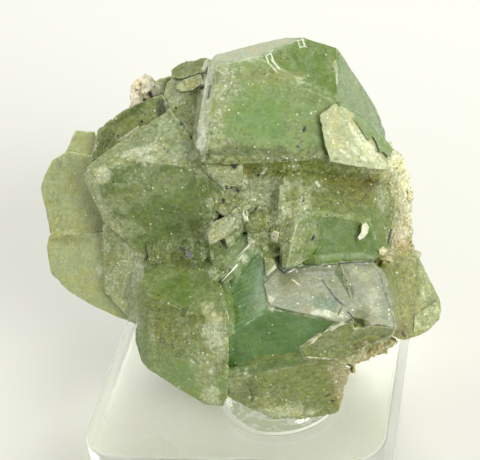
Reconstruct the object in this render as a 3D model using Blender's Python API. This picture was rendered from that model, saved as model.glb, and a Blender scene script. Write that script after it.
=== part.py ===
"""A herderite specimen: green intergrown crystals on broken feldspar, standing on a clear display plate.

Metres, +Z up. The origin is the centre of the display plate's underside.
"""
import math
import random

import bmesh
import bpy
from mathutils import Matrix, Vector

MM = 0.001
TOUCH_GAP = 0.3 * MM

# The display plate and the round pad on it.
PLATE_WIDTH = 32.0 * MM
PLATE_THICKNESS = 6.0 * MM
PLATE_CORNER = 4.3 * MM
PAD_RADIUS = 6.5 * MM
PAD_HEIGHT = 3.2 * MM
PAD_CENTRE = (4.3 * MM, -6.1 * MM)

# The crystals rest on the pad's top, the feldspar's foot on the plate.
CRYSTAL_FLOOR = PLATE_THICKNESS + PAD_HEIGHT + TOUCH_GAP
MATRIX_FLOOR = PLATE_THICKNESS + TOUCH_GAP

# The crystals are laid out on a sheet that faces an eye point EYE away.
# The sheet leans back, is turned a little and is rolled a little.
EYE = 150.0
SHEET_TURN = math.radians(15.5)
SHEET_LEAN = math.radians(34.6)
SHEET_ROLL = math.radians(9.2)
SHEET_CENTRE = Vector((2.0, -3.7, 26.0)) * MM
BLOCK = 60.0 * MM
SIDE_TAPER = 8.0
INSIDE_DEPTH = 3.0 * MM
CLOSE = 0.002 * MM

# Broken layers: how deep they root in the crystal, how far they stay inside its edges, and how much their
# sides slope.
LAYER_ROOT = 0.5 * MM
LAYER_INSET = 0.06 * MM
LAYER_SLOPE = 0.8

# Broken grains, and how finely the round shapes are divided.
GRAIN_SEED = 11
PIT_SEED = 4
GRAIN_FACES = 11
PAD_SIDES = 48
PLATE_EASE = 0.35 * MM
CORNER_STEPS = 8


def sheet_axes():
    """World directions of the sheet's right, up and out."""
    out = Vector((
        math.sin(SHEET_TURN) * math.cos(SHEET_LEAN),
        -math.cos(SHEET_TURN) * math.cos(SHEET_LEAN),
        math.sin(SHEET_LEAN),
    ))
    level = Vector((math.cos(SHEET_TURN), math.sin(SHEET_TURN), 0.0))
    steep = out.cross(level)
    right = level * math.cos(SHEET_ROLL) - steep * math.sin(SHEET_ROLL)
    up = level * math.sin(SHEET_ROLL) + steep * math.cos(SHEET_ROLL)
    return right, up, out


RIGHT, UP, OUT = sheet_axes()


def spot(corner):
    """World point of a corner (right, up, out) in mm; right and up are as the eye reads them on the sheet."""
    right, up, out = corner
    near = 1.0 - out / EYE
    return SHEET_CENTRE + (RIGHT * right * near + UP * up * near + OUT * out) * MM


# Each crystal: its named corners, the outline that its sides run back from, its front faces by the three
# corners each one holds, and how far back it goes. A corner is (right, up, out) in mm.
CRYSTALS = {
    "top": {
        "corners": {
            "bevel_top": (-2.9, 17.5, 4.2),
            "bevel_foot": (-4.6, 8.8, 6.0),
            "ridge_left": (-2.3, 16.5, 6.0),
            "ridge_foot": (-3.3, 8.0, 7.9),
            "joint": (1.8, 17.4, 5.3),
            "roof_left": (-2.6, 17.7, 3.0),
            "roof_back": (4.7, 19.5, 0.6),
            "peak": (6.3, 19.3, 1.5),
            "crest": (8.2, 18.95, 1.2),
            "shoulder": (9.7, 18.3, 0.9),
            "elbow": (9.7, 13.3, 5.5),
            "arm": (12.15, 15.0, -0.2),
            "forearm": (13.75, 12.5, -1.6),
            "wing": (14.6, 9.9, -2.4),
            "wing_low": (14.4, 7.6, -1.0),
            "hem_right": (8.4, 7.0, 6.6),
            "hem_middle": (2.9, 6.1, 7.4),
            "hem_left": (-3.9, 6.9, 7.0),
        },
        "outline": "bevel_top roof_left roof_back peak crest shoulder arm forearm wing wing_low"
                   " hem_right hem_middle hem_left bevel_foot",
        "faces": [
            "ridge_left elbow ridge_foot",
            "ridge_left ridge_foot bevel_foot",
            "ridge_left joint peak",
            "joint elbow peak",
            "elbow shoulder wing",
        ],
        "back": -8.5,
    },
    "left": {
        "corners": {
            "nose": (-15.8, 5.5, 1.9),
            "nose_low": (-13.7, 0.8, 1.8),
            "crown": (-9.0, 7.0, 4.3),
            "crown_right": (-3.9, 6.3, 5.0),
            "slope_left": (-14.6, 6.9, 1.8),
            "slope_top": (-10.1, 10.3, 1.6),
            "slope_peak": (-6.9, 12.0, 1.4),
            "slope_right": (-4.5, 8.6, 3.4),
            "right": (-1.6, 3.6, 5.2),
            "low_right": (-2.4, 0.2, 4.6),
            "low": (-4.9, -2.0, 3.8),
            "low_left": (-9.6, -2.6, 2.8),
            "strip_foot": (-13.0, 2.4, 2.88),
            "brow": (-14.5, 5.75, 3.09),
        },
        "outline": "nose slope_left slope_top slope_peak slope_right right low_right low low_left nose_low",
        "faces": [
            "crown right low_left",
            "brow crown slope_top",
            "crown crown_right slope_peak",
            "nose strip_foot nose_low",
        ],
        "back": -10.0,
    },
    "upper_left": {
        "corners": {
            "left": (-7.7, 13.4, -0.6),
            "left_top": (-7.4, 14.8, -1.4),
            "knob": (-6.8, 15.2, -1.4),
            "top": (-3.6, 15.9, 0.4),
            "right": (-3.0, 15.0, 2.2),
            "right_low": (-4.4, 9.0, 3.6),
            "low": (-7.0, 11.0, 1.6),
            "ridge": (-3.9, 14.1, 2.4),
            "fold": (-5.8, 13.2, 1.6),
        },
        "outline": "left left_top knob top right right_low low",
        "faces": [
            "fold ridge right_low",
            "left knob fold",
        ],
        "back": -8.0,
    },
    "lens": {
        "corners": {
            "left_low": (-6.8, 15.3, -0.6),
            "left": (-6.9, 16.0, -1.2),
            "left_top": (-6.3, 16.6, -1.2),
            "crest": (-5.2, 17.1, -0.8),
            "top": (-3.4, 17.3, 0.4),
            "right": (-2.6, 17.0, 1.6),
            "right_low": (-3.6, 15.8, 2.2),
            "low": (-5.9, 15.1, 0.6),
        },
        "outline": "left_low left left_top crest top right right_low low",
        "faces": [
            "left top right_low",
        ],
        "back": -6.0,
    },
    "dark_slab": {
        "corners": {
            "left": (-15.0, 6.8, -1.4),
            "left_top": (-14.3, 10.1, -1.6),
            "top": (-11.6, 12.1, -1.0),
            "brow": (-9.0, 13.1, -0.6),
            "top_right": (-7.8, 13.5, -0.2),
            "right": (-6.9, 11.8, 0.8),
            "low": (-10.0, 9.0, 1.0),
        },
        "outline": "left left_top top brow top_right right low",
        "faces": [
            "left top right",
        ],
        "back": -8.0,
    },
    "pale_tower": {
        "corners": {
            "left_low": (-17.5, 7.6, -3.4),
            "left": (-17.0, 9.0, -3.6),
            "left_top": (-16.5, 10.0, -3.6),
            "right_top": (-14.5, 9.9, -3.0),
            "right": (-13.8, 8.0, -2.0),
            "low": (-15.0, 6.0, -2.8),
        },
        "outline": "left_low left left_top right_top right low",
        "faces": [
            "left right_top low",
        ],
        "back": -10.0,
    },
    "pale_upper": {
        "corners": {
            "top": (-17.2, 7.9, -3.0),
            "brow": (-18.8, 7.0, -3.6),
            "cheek": (-19.6, 5.4, -4.0),
            "left": (-19.9, 4.2, -4.2),
            "low_left": (-19.0, -0.4, -3.4),
            "low": (-12.0, -1.2, -0.6),
            "right": (-11.0, 5.0, -0.8),
            "right_top": (-14.0, 7.4, -1.8),
        },
        "outline": "top brow cheek left low_left low right right_top",
        "faces": [
            "brow low_left right",
        ],
        "back": -11.0,
    },
    "pale_lower": {
        "corners": {
            "top_left": (-19.1, -0.5, -3.0),
            "left": (-19.4, -1.8, -3.0),
            "left_low": (-19.0, -4.4, -2.6),
            "low_left": (-17.1, -6.3, -1.8),
            "low_middle": (-14.7, -7.7, -0.8),
            "low": (-12.4, -8.7, -0.2),
            "low_right": (-10.4, -9.4, 0.6),
            "right": (-10.0, 0.0, 0.6),
        },
        "outline": "top_left left left_low low_left low_middle low low_right right",
        "faces": [
            "left low right",
        ],
        "back": -10.0,
    },
    "pale_prism": {
        "corners": {
            "top_left": (-13.8, 0.6, 0.8),
            "low_left": (-13.6, -6.2, 0.4),
            "low": (-10.5, -9.3, 1.0),
            "low_right": (-9.9, -6.2, 1.4),
            "right": (-9.5, -4.4, 1.4),
            "right_top": (-9.6, -1.4, 1.2),
            "top": (-10.6, 0.6, 1.4),
            "edge_top": (-10.2, -1.0, 2.3),
            "edge_low": (-10.2, -7.0, 2.0),
        },
        "outline": "top_left low_left low low_right right right_top top",
        "faces": [
            "top_left low_left edge_low",
            "edge_top edge_low right",
        ],
        "back": -9.0,
    },
    "lower_left": {
        "corners": {
            "head": (-5.2, -2.7, 4.2),
            "head_left": (-9.3, -2.6, 3.2),
            "ear": (-9.85, -5.4, 3.6),
            "side_top": (-10.5, -9.0, 3.0),
            "side_middle": (-10.5, -11.2, 2.9),
            "side_foot": (-9.8, -13.1, 2.8),
            "inner_top": (-9.2, -7.4, 5.4),
            "inner_foot": (-9.0, -13.6, 4.6),
            "foot_left": (-7.3, -15.2, 4.4),
            "foot": (-3.6, -17.5, 4.4),
            "toe": (-1.7, -17.7, 4.6),
            "brow": (-1.9, -5.3, 6.2),
            "brow_low": (-1.3, -7.4, 7.8),
            "cheek": (-1.1, -8.8, 8.2),
            "cheek_low": (-1.1, -16.8, 6.6),
            "apron": (-5.1, -8.3, 7.6),
            "apron_side": (-6.4, -11.0, 7.4),
            "apron_foot": (-3.5, -16.9, 5.8),
        },
        "outline": "head head_left ear side_top side_middle side_foot foot_left foot toe cheek_low cheek"
                   " brow_low brow",
        "faces": [
            "head_left head apron",
            "head brow apron",
            "inner_top inner_foot side_middle",
            "inner_top apron inner_foot",
            "apron cheek cheek_low",
            "apron brow_low cheek",
            "foot_left foot apron_side",
        ],
        "back": -9.0,
    },
    "frost_plate": {
        "corners": {
            "left": (-2.6, 3.4, 5.0),
            "left_top": (-1.6, 5.2, 5.2),
            "top": (0.6, 6.4, 5.6),
            "top_right": (5.2, 6.2, 5.8),
            "right": (5.8, 3.8, 6.2),
            "right_low": (3.8, 1.2, 6.4),
            "low": (0.2, 0.8, 6.2),
            "low_left": (-2.4, 1.6, 5.6),
        },
        "outline": "left left_top top top_right right right_low low low_left",
        "faces": [
            "left top right_low",
            "top_right right_low left",
        ],
        "back": -6.0,
    },
    "white_wedge": {
        "corners": {
            "left": (-4.1, 6.5, 5.6),
            "top": (0.3, 6.7, 6.6),
            "right": (0.1, 4.5, 6.2),
            "low": (-1.7, 4.1, 5.6),
            "middle": (-2.4, 5.9, 6.4),
        },
        "outline": "left top right low",
        "faces": [
            "left top middle",
            "middle top low",
            "left middle low",
        ],
        "back": 1.0,
    },
    "bright_wedge": {
        "corners": {
            "left": (-3.5, 0.5, 5.6),
            "top": (-0.8, 1.7, 6.4),
            "top_right": (0.1, 1.3, 6.8),
            "right": (-0.1, -0.3, 6.4),
            "low": (-1.8, -0.9, 6.2),
            "low_left": (-3.0, -1.3, 5.8),
            "edge_left": (-1.7, -0.5, 6.9),
            "edge_right": (-0.6, 1.2, 7.0),
        },
        "outline": "left top top_right right low low_left",
        "faces": [
            "left top edge_left",
            "edge_left edge_right right",
            "top top_right edge_right",
        ],
        "back": 0.0,
    },
    "grey_knob": {
        "corners": {
            "top": (1.0, 1.7, 6.2),
            "top_right": (3.6, 1.9, 6.4),
            "right": (3.4, 0.3, 6.6),
            "low_right": (1.6, -0.4, 6.2),
            "low": (0.5, -0.2, 6.0),
            "left": (0.3, 0.8, 6.0),
            "middle": (2.0, 0.9, 7.0),
        },
        "outline": "top top_right right low_right low left",
        "faces": [
            "top top_right middle",
            "top_right right middle",
            "low middle left",
        ],
        "back": 0.0,
    },
    "teal_prism": {
        "corners": {
            "left_top": (-3.2, -0.9, 4.2),
            "top": (0.6, -0.3, 5.8),
            "right_top": (1.1, -1.3, 6.0),
            "right": (-1.9, -5.3, 6.0),
            "low_left": (-2.9, -3.0, 4.2),
        },
        "outline": "left_top top right_top right low_left",
        "faces": [
            "left_top right_top right",
        ],
        "back": -4.0,
    },
    "pale_stub": {
        "corners": {
            "left_top": (0.7, -0.3, 6.6),
            "top": (1.6, -0.3, 6.8),
            "right": (1.9, -1.6, 6.6),
            "low": (1.4, -2.0, 6.2),
            "left": (0.7, -1.1, 6.4),
        },
        "outline": "left_top top right low left",
        "faces": [
            "left_top top right",
            "right low left",
        ],
        "back": 0.0,
    },
    "white_knob": {
        "corners": {
            "top": (3.4, -0.1, 6.6),
            "right": (3.9, -0.6, 6.8),
            "low": (3.9, -1.3, 6.8),
            "low_left": (3.3, -1.1, 6.6),
            "left": (3.0, -0.6, 6.4),
            "middle": (3.5, -0.7, 7.1),
        },
        "outline": "top right low low_left left",
        "faces": [
            "top middle left",
            "right middle low",
            "left middle low",
        ],
        "back": 2.0,
    },
    "white_triangle": {
        "corners": {
            "left_top": (2.4, -2.8, 7.4),
            "top": (3.4, -2.8, 7.6),
            "right": (3.6, -3.4, 7.8),
            "low": (2.6, -4.7, 8.2),
        },
        "outline": "left_top top right low",
        "faces": [
            "left_top top low",
            "top right low",
        ],
        "back": 2.0,
    },
    "spark": {
        "corners": {
            "top": (0.6, 2.2, 6.8),
            "right": (0.9, 1.0, 7.0),
            "low": (0.4, 0.7, 7.0),
            "left": (0.1, 1.4, 6.8),
        },
        "outline": "top right low left",
        "faces": [
            "top right low",
            "top left low",
        ],
        "back": 3.0,
    },
    "centre": {
        "corners": {
            "top": (4.5, 3.4, 6.8),
            "top_right": (6.6, 2.3, 7.4),
            "shoulder": (7.6, 1.2, 7.2),
            "right": (7.9, -1.6, 7.0),
            "right_low": (7.0, -2.8, 7.4),
            "tip": (4.8, -4.1, 8.8),
            "tip_left": (4.2, -3.8, 8.6),
            "left": (3.7, 1.0, 7.2),
            "left_top": (3.9, 2.4, 6.8),
            "middle": (5.6, 0.6, 8.7),
        },
        "outline": "top top_right shoulder right right_low tip tip_left left left_top",
        "faces": [
            "top middle left",
            "middle left tip_left",
            "middle tip right_low",
            "top middle top_right",
            "middle right shoulder",
        ],
        "back": -4.0,
    },
    "right": {
        "corners": {
            "hem": (5.0, 6.4, 5.8),
            "hem_right": (14.4, 6.6, 3.0),
            "right_top": (15.6, 4.5, 2.2),
            "right": (16.2, 2.0, 1.6),
            "right_low": (15.6, 0.4, 1.8),
            "foot_right": (14.9, -1.4, 2.6),
            "foot": (13.2, -3.2, 5.54),
            "low": (6.0, -3.75, 6.5),
            "low_left": (4.4, -4.6, 6.2),
            "left": (4.0, -1.0, 6.2),
            "left_top": (4.0, 4.4, 6.2),
            "fold_left": (5.4, 2.2, 7.8),
            "fold_right": (13.0, 1.2, 6.4),
            "side_top": (13.6, 5.0, 4.8),
        },
        "outline": "hem hem_right right_top right right_low foot_right foot low_left left left_top",
        "faces": [
            "fold_left fold_right hem",
            "fold_left foot low",
            "fold_right side_top right",
        ],
        "back": -9.0,
    },
    "crescent": {
        "corners": {
            "top": (12.2, 0.8, 7.0),
            "right": (12.8, -0.1, 6.7),
            "low_right": (12.4, -0.7, 6.6),
            "low": (11.9, -1.1, 6.6),
            "left": (12.0, 0.0, 6.9),
        },
        "outline": "top right low_right low left",
        "faces": [
            "top right low",
        ],
        "back": 3.0,
    },
    "ledge": {
        "corners": {
            "corner": (2.9, -7.9, 9.0),
            "front_right": (15.6, -9.7, 8.7),
            "back": (7.0, -3.5, 6.3),
            "left": (2.6, -5.0, 7.6),
            "left_back": (3.5, -4.0, 6.9),
            "right_back": (13.2, -3.1, 5.5),
            "right_top": (14.4, -4.3, 6.0),
            "right_side": (14.9, -6.3, 7.0),
            "fold": (9.8, -9.2, 9.0),
            "fold_low": (6.1, -11.6, 6.74),
            "chin": (2.6, -14.2, 4.4),
            "chin_left": (-1.6, -14.8, 3.4),
            "jaw_left": (-1.8, -10.0, 5.2),
            "teal_low": (0.6, -9.4, 7.6),
            "teal_left": (-1.9, -5.2, 4.0),
            "teal_top": (1.2, -1.8, 4.8),
            "grey_right": (14.9, -10.8, 7.4),
            "grey_foot": (10.2, -12.9, 5.0),
        },
        "outline": "teal_left teal_top right_back right_top right_side front_right grey_right grey_foot"
                   " chin chin_left jaw_left",
        "faces": [
            "corner front_right back",
            "corner fold chin",
            "corner teal_low left",
            "fold front_right fold_low",
        ],
        "back": -6.0,
    },
    "step": {
        "corners": {
            "fold": (9.6, -9.2, 9.1),
            "right": (15.6, -9.75, 8.8),
            "right_low": (15.0, -10.8, 7.8),
            "foot_right": (11.0, -12.3, 6.2),
            "foot": (9.9, -12.8, 5.7),
            "foot_left": (6.4, -12.8, 5.6),
            "left": (5.9, -11.7, 6.9),
        },
        "outline": "fold right right_low foot_right foot foot_left left",
        "faces": [
            "fold right left",
        ],
        "back": 0.0,
    },
    "right_wing": {
        "corners": {
            "top_left": (12.6, -3.6, 3.4),
            "top": (16.6, -2.1, 1.6),
            "top_right": (17.9, -2.8, 0.6),
            "shoulder": (19.1, -5.0, -0.4),
            "tip_top": (20.1, -7.0, -1.6),
            "tip": (20.2, -7.9, -1.9),
            "tip_low": (20.0, -9.0, -1.8),
            "heel": (18.9, -10.1, -0.6),
            "foot": (16.3, -11.1, 1.4),
            "foot_left": (12.6, -9.6, 3.6),
            "facet": (18.7, -8.0, 0.6),
            "facet_top": (17.8, -3.4, 1.4),
        },
        "outline": "top_left top top_right shoulder tip_top tip tip_low heel foot foot_left",
        "faces": [
            "top_left facet foot",
            "facet_top facet tip",
            "facet tip heel",
        ],
        "back": -7.0,
    },
    "foot_block": {
        "corners": {
            "top_left": (-1.3, -14.4, 3.2),
            "top": (2.2, -13.8, 4.4),
            "top_middle": (6.6, -12.8, 4.8),
            "top_right": (9.3, -13.0, 4.2),
            "right_top": (11.2, -13.9, 2.8),
            "right": (10.6, -15.7, 1.4),
            "right_low": (10.1, -18.1, 0.0),
            "low_right": (8.6, -19.0, -0.4),
            "low": (3.6, -19.0, -0.2),
            "left_low": (0.6, -17.8, 0.8),
            "left": (-1.4, -16.6, 1.6),
            "cheek": (2.4, -15.2, 4.0),
        },
        "outline": "top_left top top_middle top_right right_top right right_low low_right low left_low left",
        "faces": [
            "top_middle right_low low",
            "cheek low left",
            "top_right right_low right_top",
        ],
        "back": -9.0,
    },
}

CRYSTALS["core"] = {
    "corners": {
        "left": (-8.0, 3.0, 0.6),
        "left_top": (-5.0, 7.4, 2.0),
        "right_top": (9.0, 7.6, 4.0),
        "right": (13.0, 2.0, 3.4),
        "right_low": (11.0, -12.0, 3.4),
        "low": (2.0, -14.8, 3.6),
        "low_left": (-2.0, -15.0, 3.0),
        "left_low": (-8.6, -4.0, 0.4),
        "hollow": (-5.2, -2.2, 1.4),
        "middle": (3.0, 0.5, 5.4),
        "middle_top": (3.0, 6.9, 5.4),
        "middle_right": (12.0, 0.0, 3.6),
    },
    "outline": "left left_top right_top right right_low low low_left left_low",
    "faces": [
        "hollow middle middle_top",
        "middle middle_top middle_right",
        "middle low hollow",
        "middle low middle_right",
    ],
    "back": -10.0,
}

# Broken layers left standing on a face: the crystal, the face, the outline (right, up) that bounds the layer
# where it stops short of the face's own edges, and how far it stands proud in mm.
LAYERS = [
    (
        "ledge",
        "corner front_right back",
        [(7.4, -2.0), (8.8, -5.5), (10.4, -7.5), (11.6, -8.9), (12.6, -12.0), (19.0, -12.0), (19.0, -1.0)],
        0.18,
    ),
]

# Small broken pits: (right, up, out) on the sheet and their size in mm.
PITS = [
    ((-5.4, -2.3, 2.6), 0.9),
    ((10.3, -7.4, 8.1), 0.28),
    ((12.0, -9.1, 8.7), 0.55),
    ((-0.9, 6.5, 6.8), 0.45),
    ((2.9, 1.9, 6.4), 0.40),
    ((5.8, -3.8, 7.4), 0.35),
    ((-9.2, 6.8, 4.5), 0.35),
    ((1.2, -14.4, 4.6), 0.50),
    ((15.0, -2.6, 3.4), 0.50),
    ((7.6, 5.4, 6.9), 0.45),
]

# The broken feldspar behind the crystals, in the same way.
MATRIX = {
    "chip": {
        "corners": {
            "top": (9.5, 12.8, 6.9),
            "top_left": (8.0, 11.5, 6.95),
            "left": (8.3, 9.4, 7.4),
            "left_low": (9.0, 6.7, 7.85),
            "knee": (11.6, 6.3, 7.6),
            "knee_top": (10.6, 12.1, 6.5),
            "right": (15.0, 5.8, 4.8),
            "right_top": (14.6, 8.0, 4.0),
            "brow": (12.3, 10.8, 5.0),
        },
        "outline": "top top_left left left_low knee right right_top brow knee_top",
        "faces": [
            "top_left left_low knee",
            "knee knee_top right",
        ],
        "back": 2.0,
    },
    "right_rim_top": {
        "corners": {
            "top": (13.6, 9.4, 3.8),
            "spike": (14.5, 8.9, 2.4),
            "right_top": (16.3, 7.6, 0.4),
            "right": (16.7, 6.0, 0.2),
            "right_low": (17.1, 4.4, 0.4),
            "low": (15.0, 2.0, 2.6),
            "left": (13.0, 5.4, 4.6),
        },
        "outline": "top spike right_top right right_low low left",
        "faces": [
            "top right_top low",
        ],
        "back": -9.0,
    },
    "right_rim": {
        "corners": {
            "top": (15.4, 5.2, 1.8),
            "top_right": (17.1, 4.4, 0.4),
            "nub": (17.3, 3.3, 0.2),
            "right": (17.1, -0.4, 0.0),
            "low": (15.0, -1.6, 2.8),
            "left": (14.4, 1.0, 3.0),
        },
        "outline": "top top_right nub right low left",
        "faces": [
            "top nub low",
        ],
        "back": -9.0,
    },
    "right_rim_low": {
        "corners": {
            "top": (15.0, 1.0, 2.6),
            "top_right": (17.1, 0.6, 0.4),
            "right": (17.2, -1.6, 0.2),
            "low_right": (17.9, -3.7, 0.2),
            "low": (14.2, -4.4, 3.0),
            "left": (14.0, -1.0, 3.4),
        },
        "outline": "top top_right low_right low left",
        "faces": [
            "top right low",
        ],
        "back": -9.0,
    },
    "pale_bits": {
        "corners": {
            "top": (14.4, -1.9, 4.2),
            "right": (15.6, -2.6, 3.8),
            "low": (15.3, -3.3, 3.8),
            "left": (13.8, -2.8, 4.4),
        },
        "outline": "top right low left",
        "faces": [
            "top right left",
        ],
        "back": 0.0,
    },
    "brown_edge": {
        "corners": {
            "left": (8.8, -12.6, 4.4),
            "left_low": (10.4, -14.2, 2.4),
            "low": (11.6, -13.6, 2.2),
            "low_middle": (13.0, -12.5, 1.8),
            "right_low": (15.4, -11.3, 1.2),
            "right": (17.0, -10.4, 0.4),
            "top": (14.0, -8.0, 4.0),
        },
        "outline": "left left_low low low_middle right_low right top",
        "faces": [
            "left low top",
        ],
        "back": -9.0,
    },
    "brown_foot": {
        "corners": {
            "top": (9.8, -12.8, 3.4),
            "right_top": (11.3, -13.9, 2.2),
            "right": (10.7, -15.8, 0.6),
            "right_low": (10.3, -17.8, -1.0),
            "low": (9.0, -18.0, -1.2),
            "left": (7.0, -15.0, 1.0),
        },
        "outline": "top right_top right right_low low left",
        "faces": [
            "top right low",
        ],
        "back": -2.6,
    },
    "pink_corner": {
        "corners": {
            "left_low": (-10.9, 11.8, -3.6),
            "left": (-10.9, 14.4, -4.2),
            "left_top": (-10.3, 15.0, -4.4),
            "step": (-9.6, 15.4, -4.6),
            "top": (-9.0, 15.7, -4.8),
            "top_right": (-8.6, 15.2, -4.4),
            "right": (-7.0, 14.8, -3.6),
            "low": (-6.0, 12.0, -2.6),
        },
        "outline": "left_low left left_top step top top_right right low",
        "faces": [
            "left top low",
        ],
        "back": -10.0,
    },
    "rim_top": {
        "corners": {
            "left_low": (-9.0, 12.0, -3.0),
            "left": (-8.6, 15.1, -3.0),
            "top": (-6.6, 15.5, -2.4),
            "right": (-2.0, 16.6, -2.0),
            "low": (-2.0, 12.0, -2.0),
        },
        "outline": "left_low left top right low",
        "faces": [
            "left top low",
        ],
        "back": -10.0,
    },
}

# The hidden bulk of the feldspar: the corners of its broken masses as world (x, y, z) in mm.
MASSES = {
    "bulk": [
        (-7.0, 3.0, 5.0), (7.5, 3.0, 5.0), (9.0, 7.0, 5.0), (3.5, 10.5, 5.0), (-5.5, 9.5, 5.0),
        (-10.5, 3.0, 14.0), (-5.0, -4.0, 14.0), (12.5, -3.0, 14.0), (14.5, 4.5, 15.0), (8.0, 12.0, 13.0),
        (-4.0, 12.5, 14.5), (-10.5, 8.5, 16.0), (-13.0, 2.0, 24.0), (-12.0, 9.0, 26.5), (-3.0, 13.5, 27.0),
        (8.5, 13.0, 25.0), (15.0, 8.0, 25.0), (15.5, 0.0, 23.0), (0.0, -5.0, 22.0), (-7.0, 11.5, 33.5),
        (2.0, 12.5, 34.0), (9.0, 11.0, 32.0), (4.0, 2.0, 33.0),
    ],
    "left_bulk": [
        (-16.5, 0.5, 16.5), (-17.5, 0.5, 25.0), (-16.0, 6.0, 28.0), (-10.0, 10.5, 29.0), (-11.5, 8.0, 16.5),
        (-13.0, -1.0, 13.5), (-6.0, 5.0, 12.5), (-8.0, 0.0, 24.0), (-15.0, 6.5, 20.0),
    ],
    "top_bulk": [
        (-9.5, 9.0, 33.0), (-9.0, 12.0, 31.0), (-3.0, 14.0, 33.0), (3.0, 14.5, 31.0), (-1.0, 12.5, 36.5),
        (-7.0, 10.0, 36.0), (2.0, 8.0, 30.0), (-6.0, 6.0, 28.0),
    ],
    "right_bulk": [
        (16.0, -1.5, 15.0), (17.0, 3.0, 17.0), (12.0, 8.5, 14.0), (9.0, 4.0, 10.0), (13.0, -3.0, 11.5),
        (17.0, 5.5, 24.0), (12.0, 11.0, 24.0), (8.0, 0.0, 22.0), (16.5, 0.5, 26.0),
    ],
}

# Broken grains along the feldspar's rims: where each row starts and ends on the sheet, how many there are,
# and their size in mm.
RIM_GRAINS = [
    ((14.5, 8.1, 1.6), (16.2, 4.9, 0.2), 5, 0.8),
    ((16.5, 4.4, 0.2), (16.5, -2.0, 0.0), 7, 0.65),
    ((9.4, -13.6, 2.2), (15.6, -10.8, 0.8), 8, 0.9),
    ((10.4, -14.4, 1.4), (9.4, -17.2, -0.6), 4, 0.7),
    ((-9.8, 13.0, -4.2), (-4.5, 15.0, -3.4), 6, 1.0),
]

# Larger grains over the hidden sides, in the same way, as world points.
BACK_GRAINS = [
    ((-10.0, 9.0, 19.0), (8.0, 12.5, 17.0), 7, 2.6),
    ((-12.0, 8.5, 26.0), (12.0, 10.5, 26.0), 8, 2.6),
    ((-7.0, 11.5, 32.5), (8.0, 11.5, 31.0), 5, 2.2),
    ((-5.0, 9.0, 11.0), (7.0, 10.0, 11.0), 5, 2.4),
    ((13.5, 3.0, 14.0), (14.5, 6.0, 25.0), 5, 2.3),
    ((-16.0, 2.0, 18.0), (-15.5, 4.0, 25.5), 4, 2.0),
    ((-9.5, 5.0, 13.0), (-7.5, 3.0, 9.0), 3, 1.8),
    ((10.0, 4.0, 9.0), (11.5, 0.0, 12.0), 3, 1.8),
]


def plane_through(points, inside):
    """(point, outward normal) of the plane through three points."""
    a, b, c = points
    normal = (b - a).cross(c - a).normalized()
    if normal.dot(inside - a) > 0:
        normal.negate()
    return a, normal


def side_plane(start, end, inside, taper):
    """A face that runs back from the edge start-end and draws in by taper."""
    edge = (end - start).normalized()
    outward = edge.cross(OUT).normalized()
    if outward.dot(inside - start) > 0:
        outward.negate()
    backward = edge.cross(outward)
    if backward.dot(OUT) > 0:
        backward.negate()
    return start, outward * math.cos(taper) + backward * math.sin(taper)


def block_planes(block):
    """A point inside the block and all its planes."""
    corners = {name: spot(corner) for name, corner in block["corners"].items()}
    outline = [corners[name] for name in block["outline"].split()]
    inside = sum(outline, Vector()) / len(outline) - OUT * INSIDE_DEPTH
    planes = [plane_through([corners[name] for name in face.split()], inside) for face in block["faces"]]
    taper = math.radians(block.get("taper", SIDE_TAPER))
    for start, end in zip(outline, outline[1:] + outline[:1]):
        planes.append(side_plane(start, end, inside, taper))
    planes.append((spot((0.0, 0.0, block["back"])), -OUT))
    return inside, planes


def solid_from_planes(name, inside, planes, grow=0.0, size=BLOCK):
    """A closed convex mesh: a large block cut back to each plane in turn."""
    shape = bmesh.new()
    bmesh.ops.create_cube(shape, size=size, matrix=Matrix.Translation(inside))
    for point, normal in planes:
        cut = bmesh.ops.bisect_plane(
            shape,
            geom=shape.verts[:] + shape.edges[:] + shape.faces[:],
            plane_co=point + normal * grow,
            plane_no=normal,
            clear_outer=True,
            dist=1e-7,
        )
        rim = [piece for piece in cut["geom_cut"] if isinstance(piece, bmesh.types.BMEdge)]
        if rim:
            bmesh.ops.holes_fill(shape, edges=rim, sides=0)
    bmesh.ops.recalc_face_normals(shape, faces=shape.faces[:])
    mesh = bpy.data.meshes.new(name)
    shape.to_mesh(mesh)
    shape.free()
    return mesh


def grain(name, centre, size, chance):
    """A broken angular grain: a lump cut by planes that face in scattered directions."""
    planes = []
    for _ in range(GRAIN_FACES):
        normal = Vector((chance.gauss(0.0, 1.0), chance.gauss(0.0, 1.0), chance.gauss(0.0, 1.0))).normalized()
        planes.append((centre + normal * size * chance.uniform(0.7, 1.1), normal))
    return solid_from_planes(name, centre, planes, size=2.2 * size)


def layer(name, block, face, outline, proud):
    """A thin plate on one face of a block, kept just inside the block's other faces."""
    inside, edges = block_planes(block)
    point, normal = plane_through([spot(block["corners"][corner]) for corner in face.split()], inside)
    points = []
    for right, up in outline:
        near = spot((right, up, 0.0))
        sight = spot((right, up, 10.0)) - near
        points.append(near + sight * (normal.dot(point - near) / normal.dot(sight)))
    middle = sum(points, Vector()) / len(points)
    planes = [(point + normal * proud * MM, normal), (point - normal * LAYER_ROOT, -normal)]
    planes += [(place - side * LAYER_INSET, side) for place, side in edges if side.dot(normal) < 0.999]
    for start, end in zip(points, points[1:] + points[:1]):
        outward = (end - start).cross(normal).normalized()
        if outward.dot(middle - start) > 0:
            outward.negate()
        planes.append((start, (outward + normal * LAYER_SLOPE).normalized()))
    return solid_from_planes(name, middle - normal * LAYER_ROOT / 2, planes)


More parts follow.
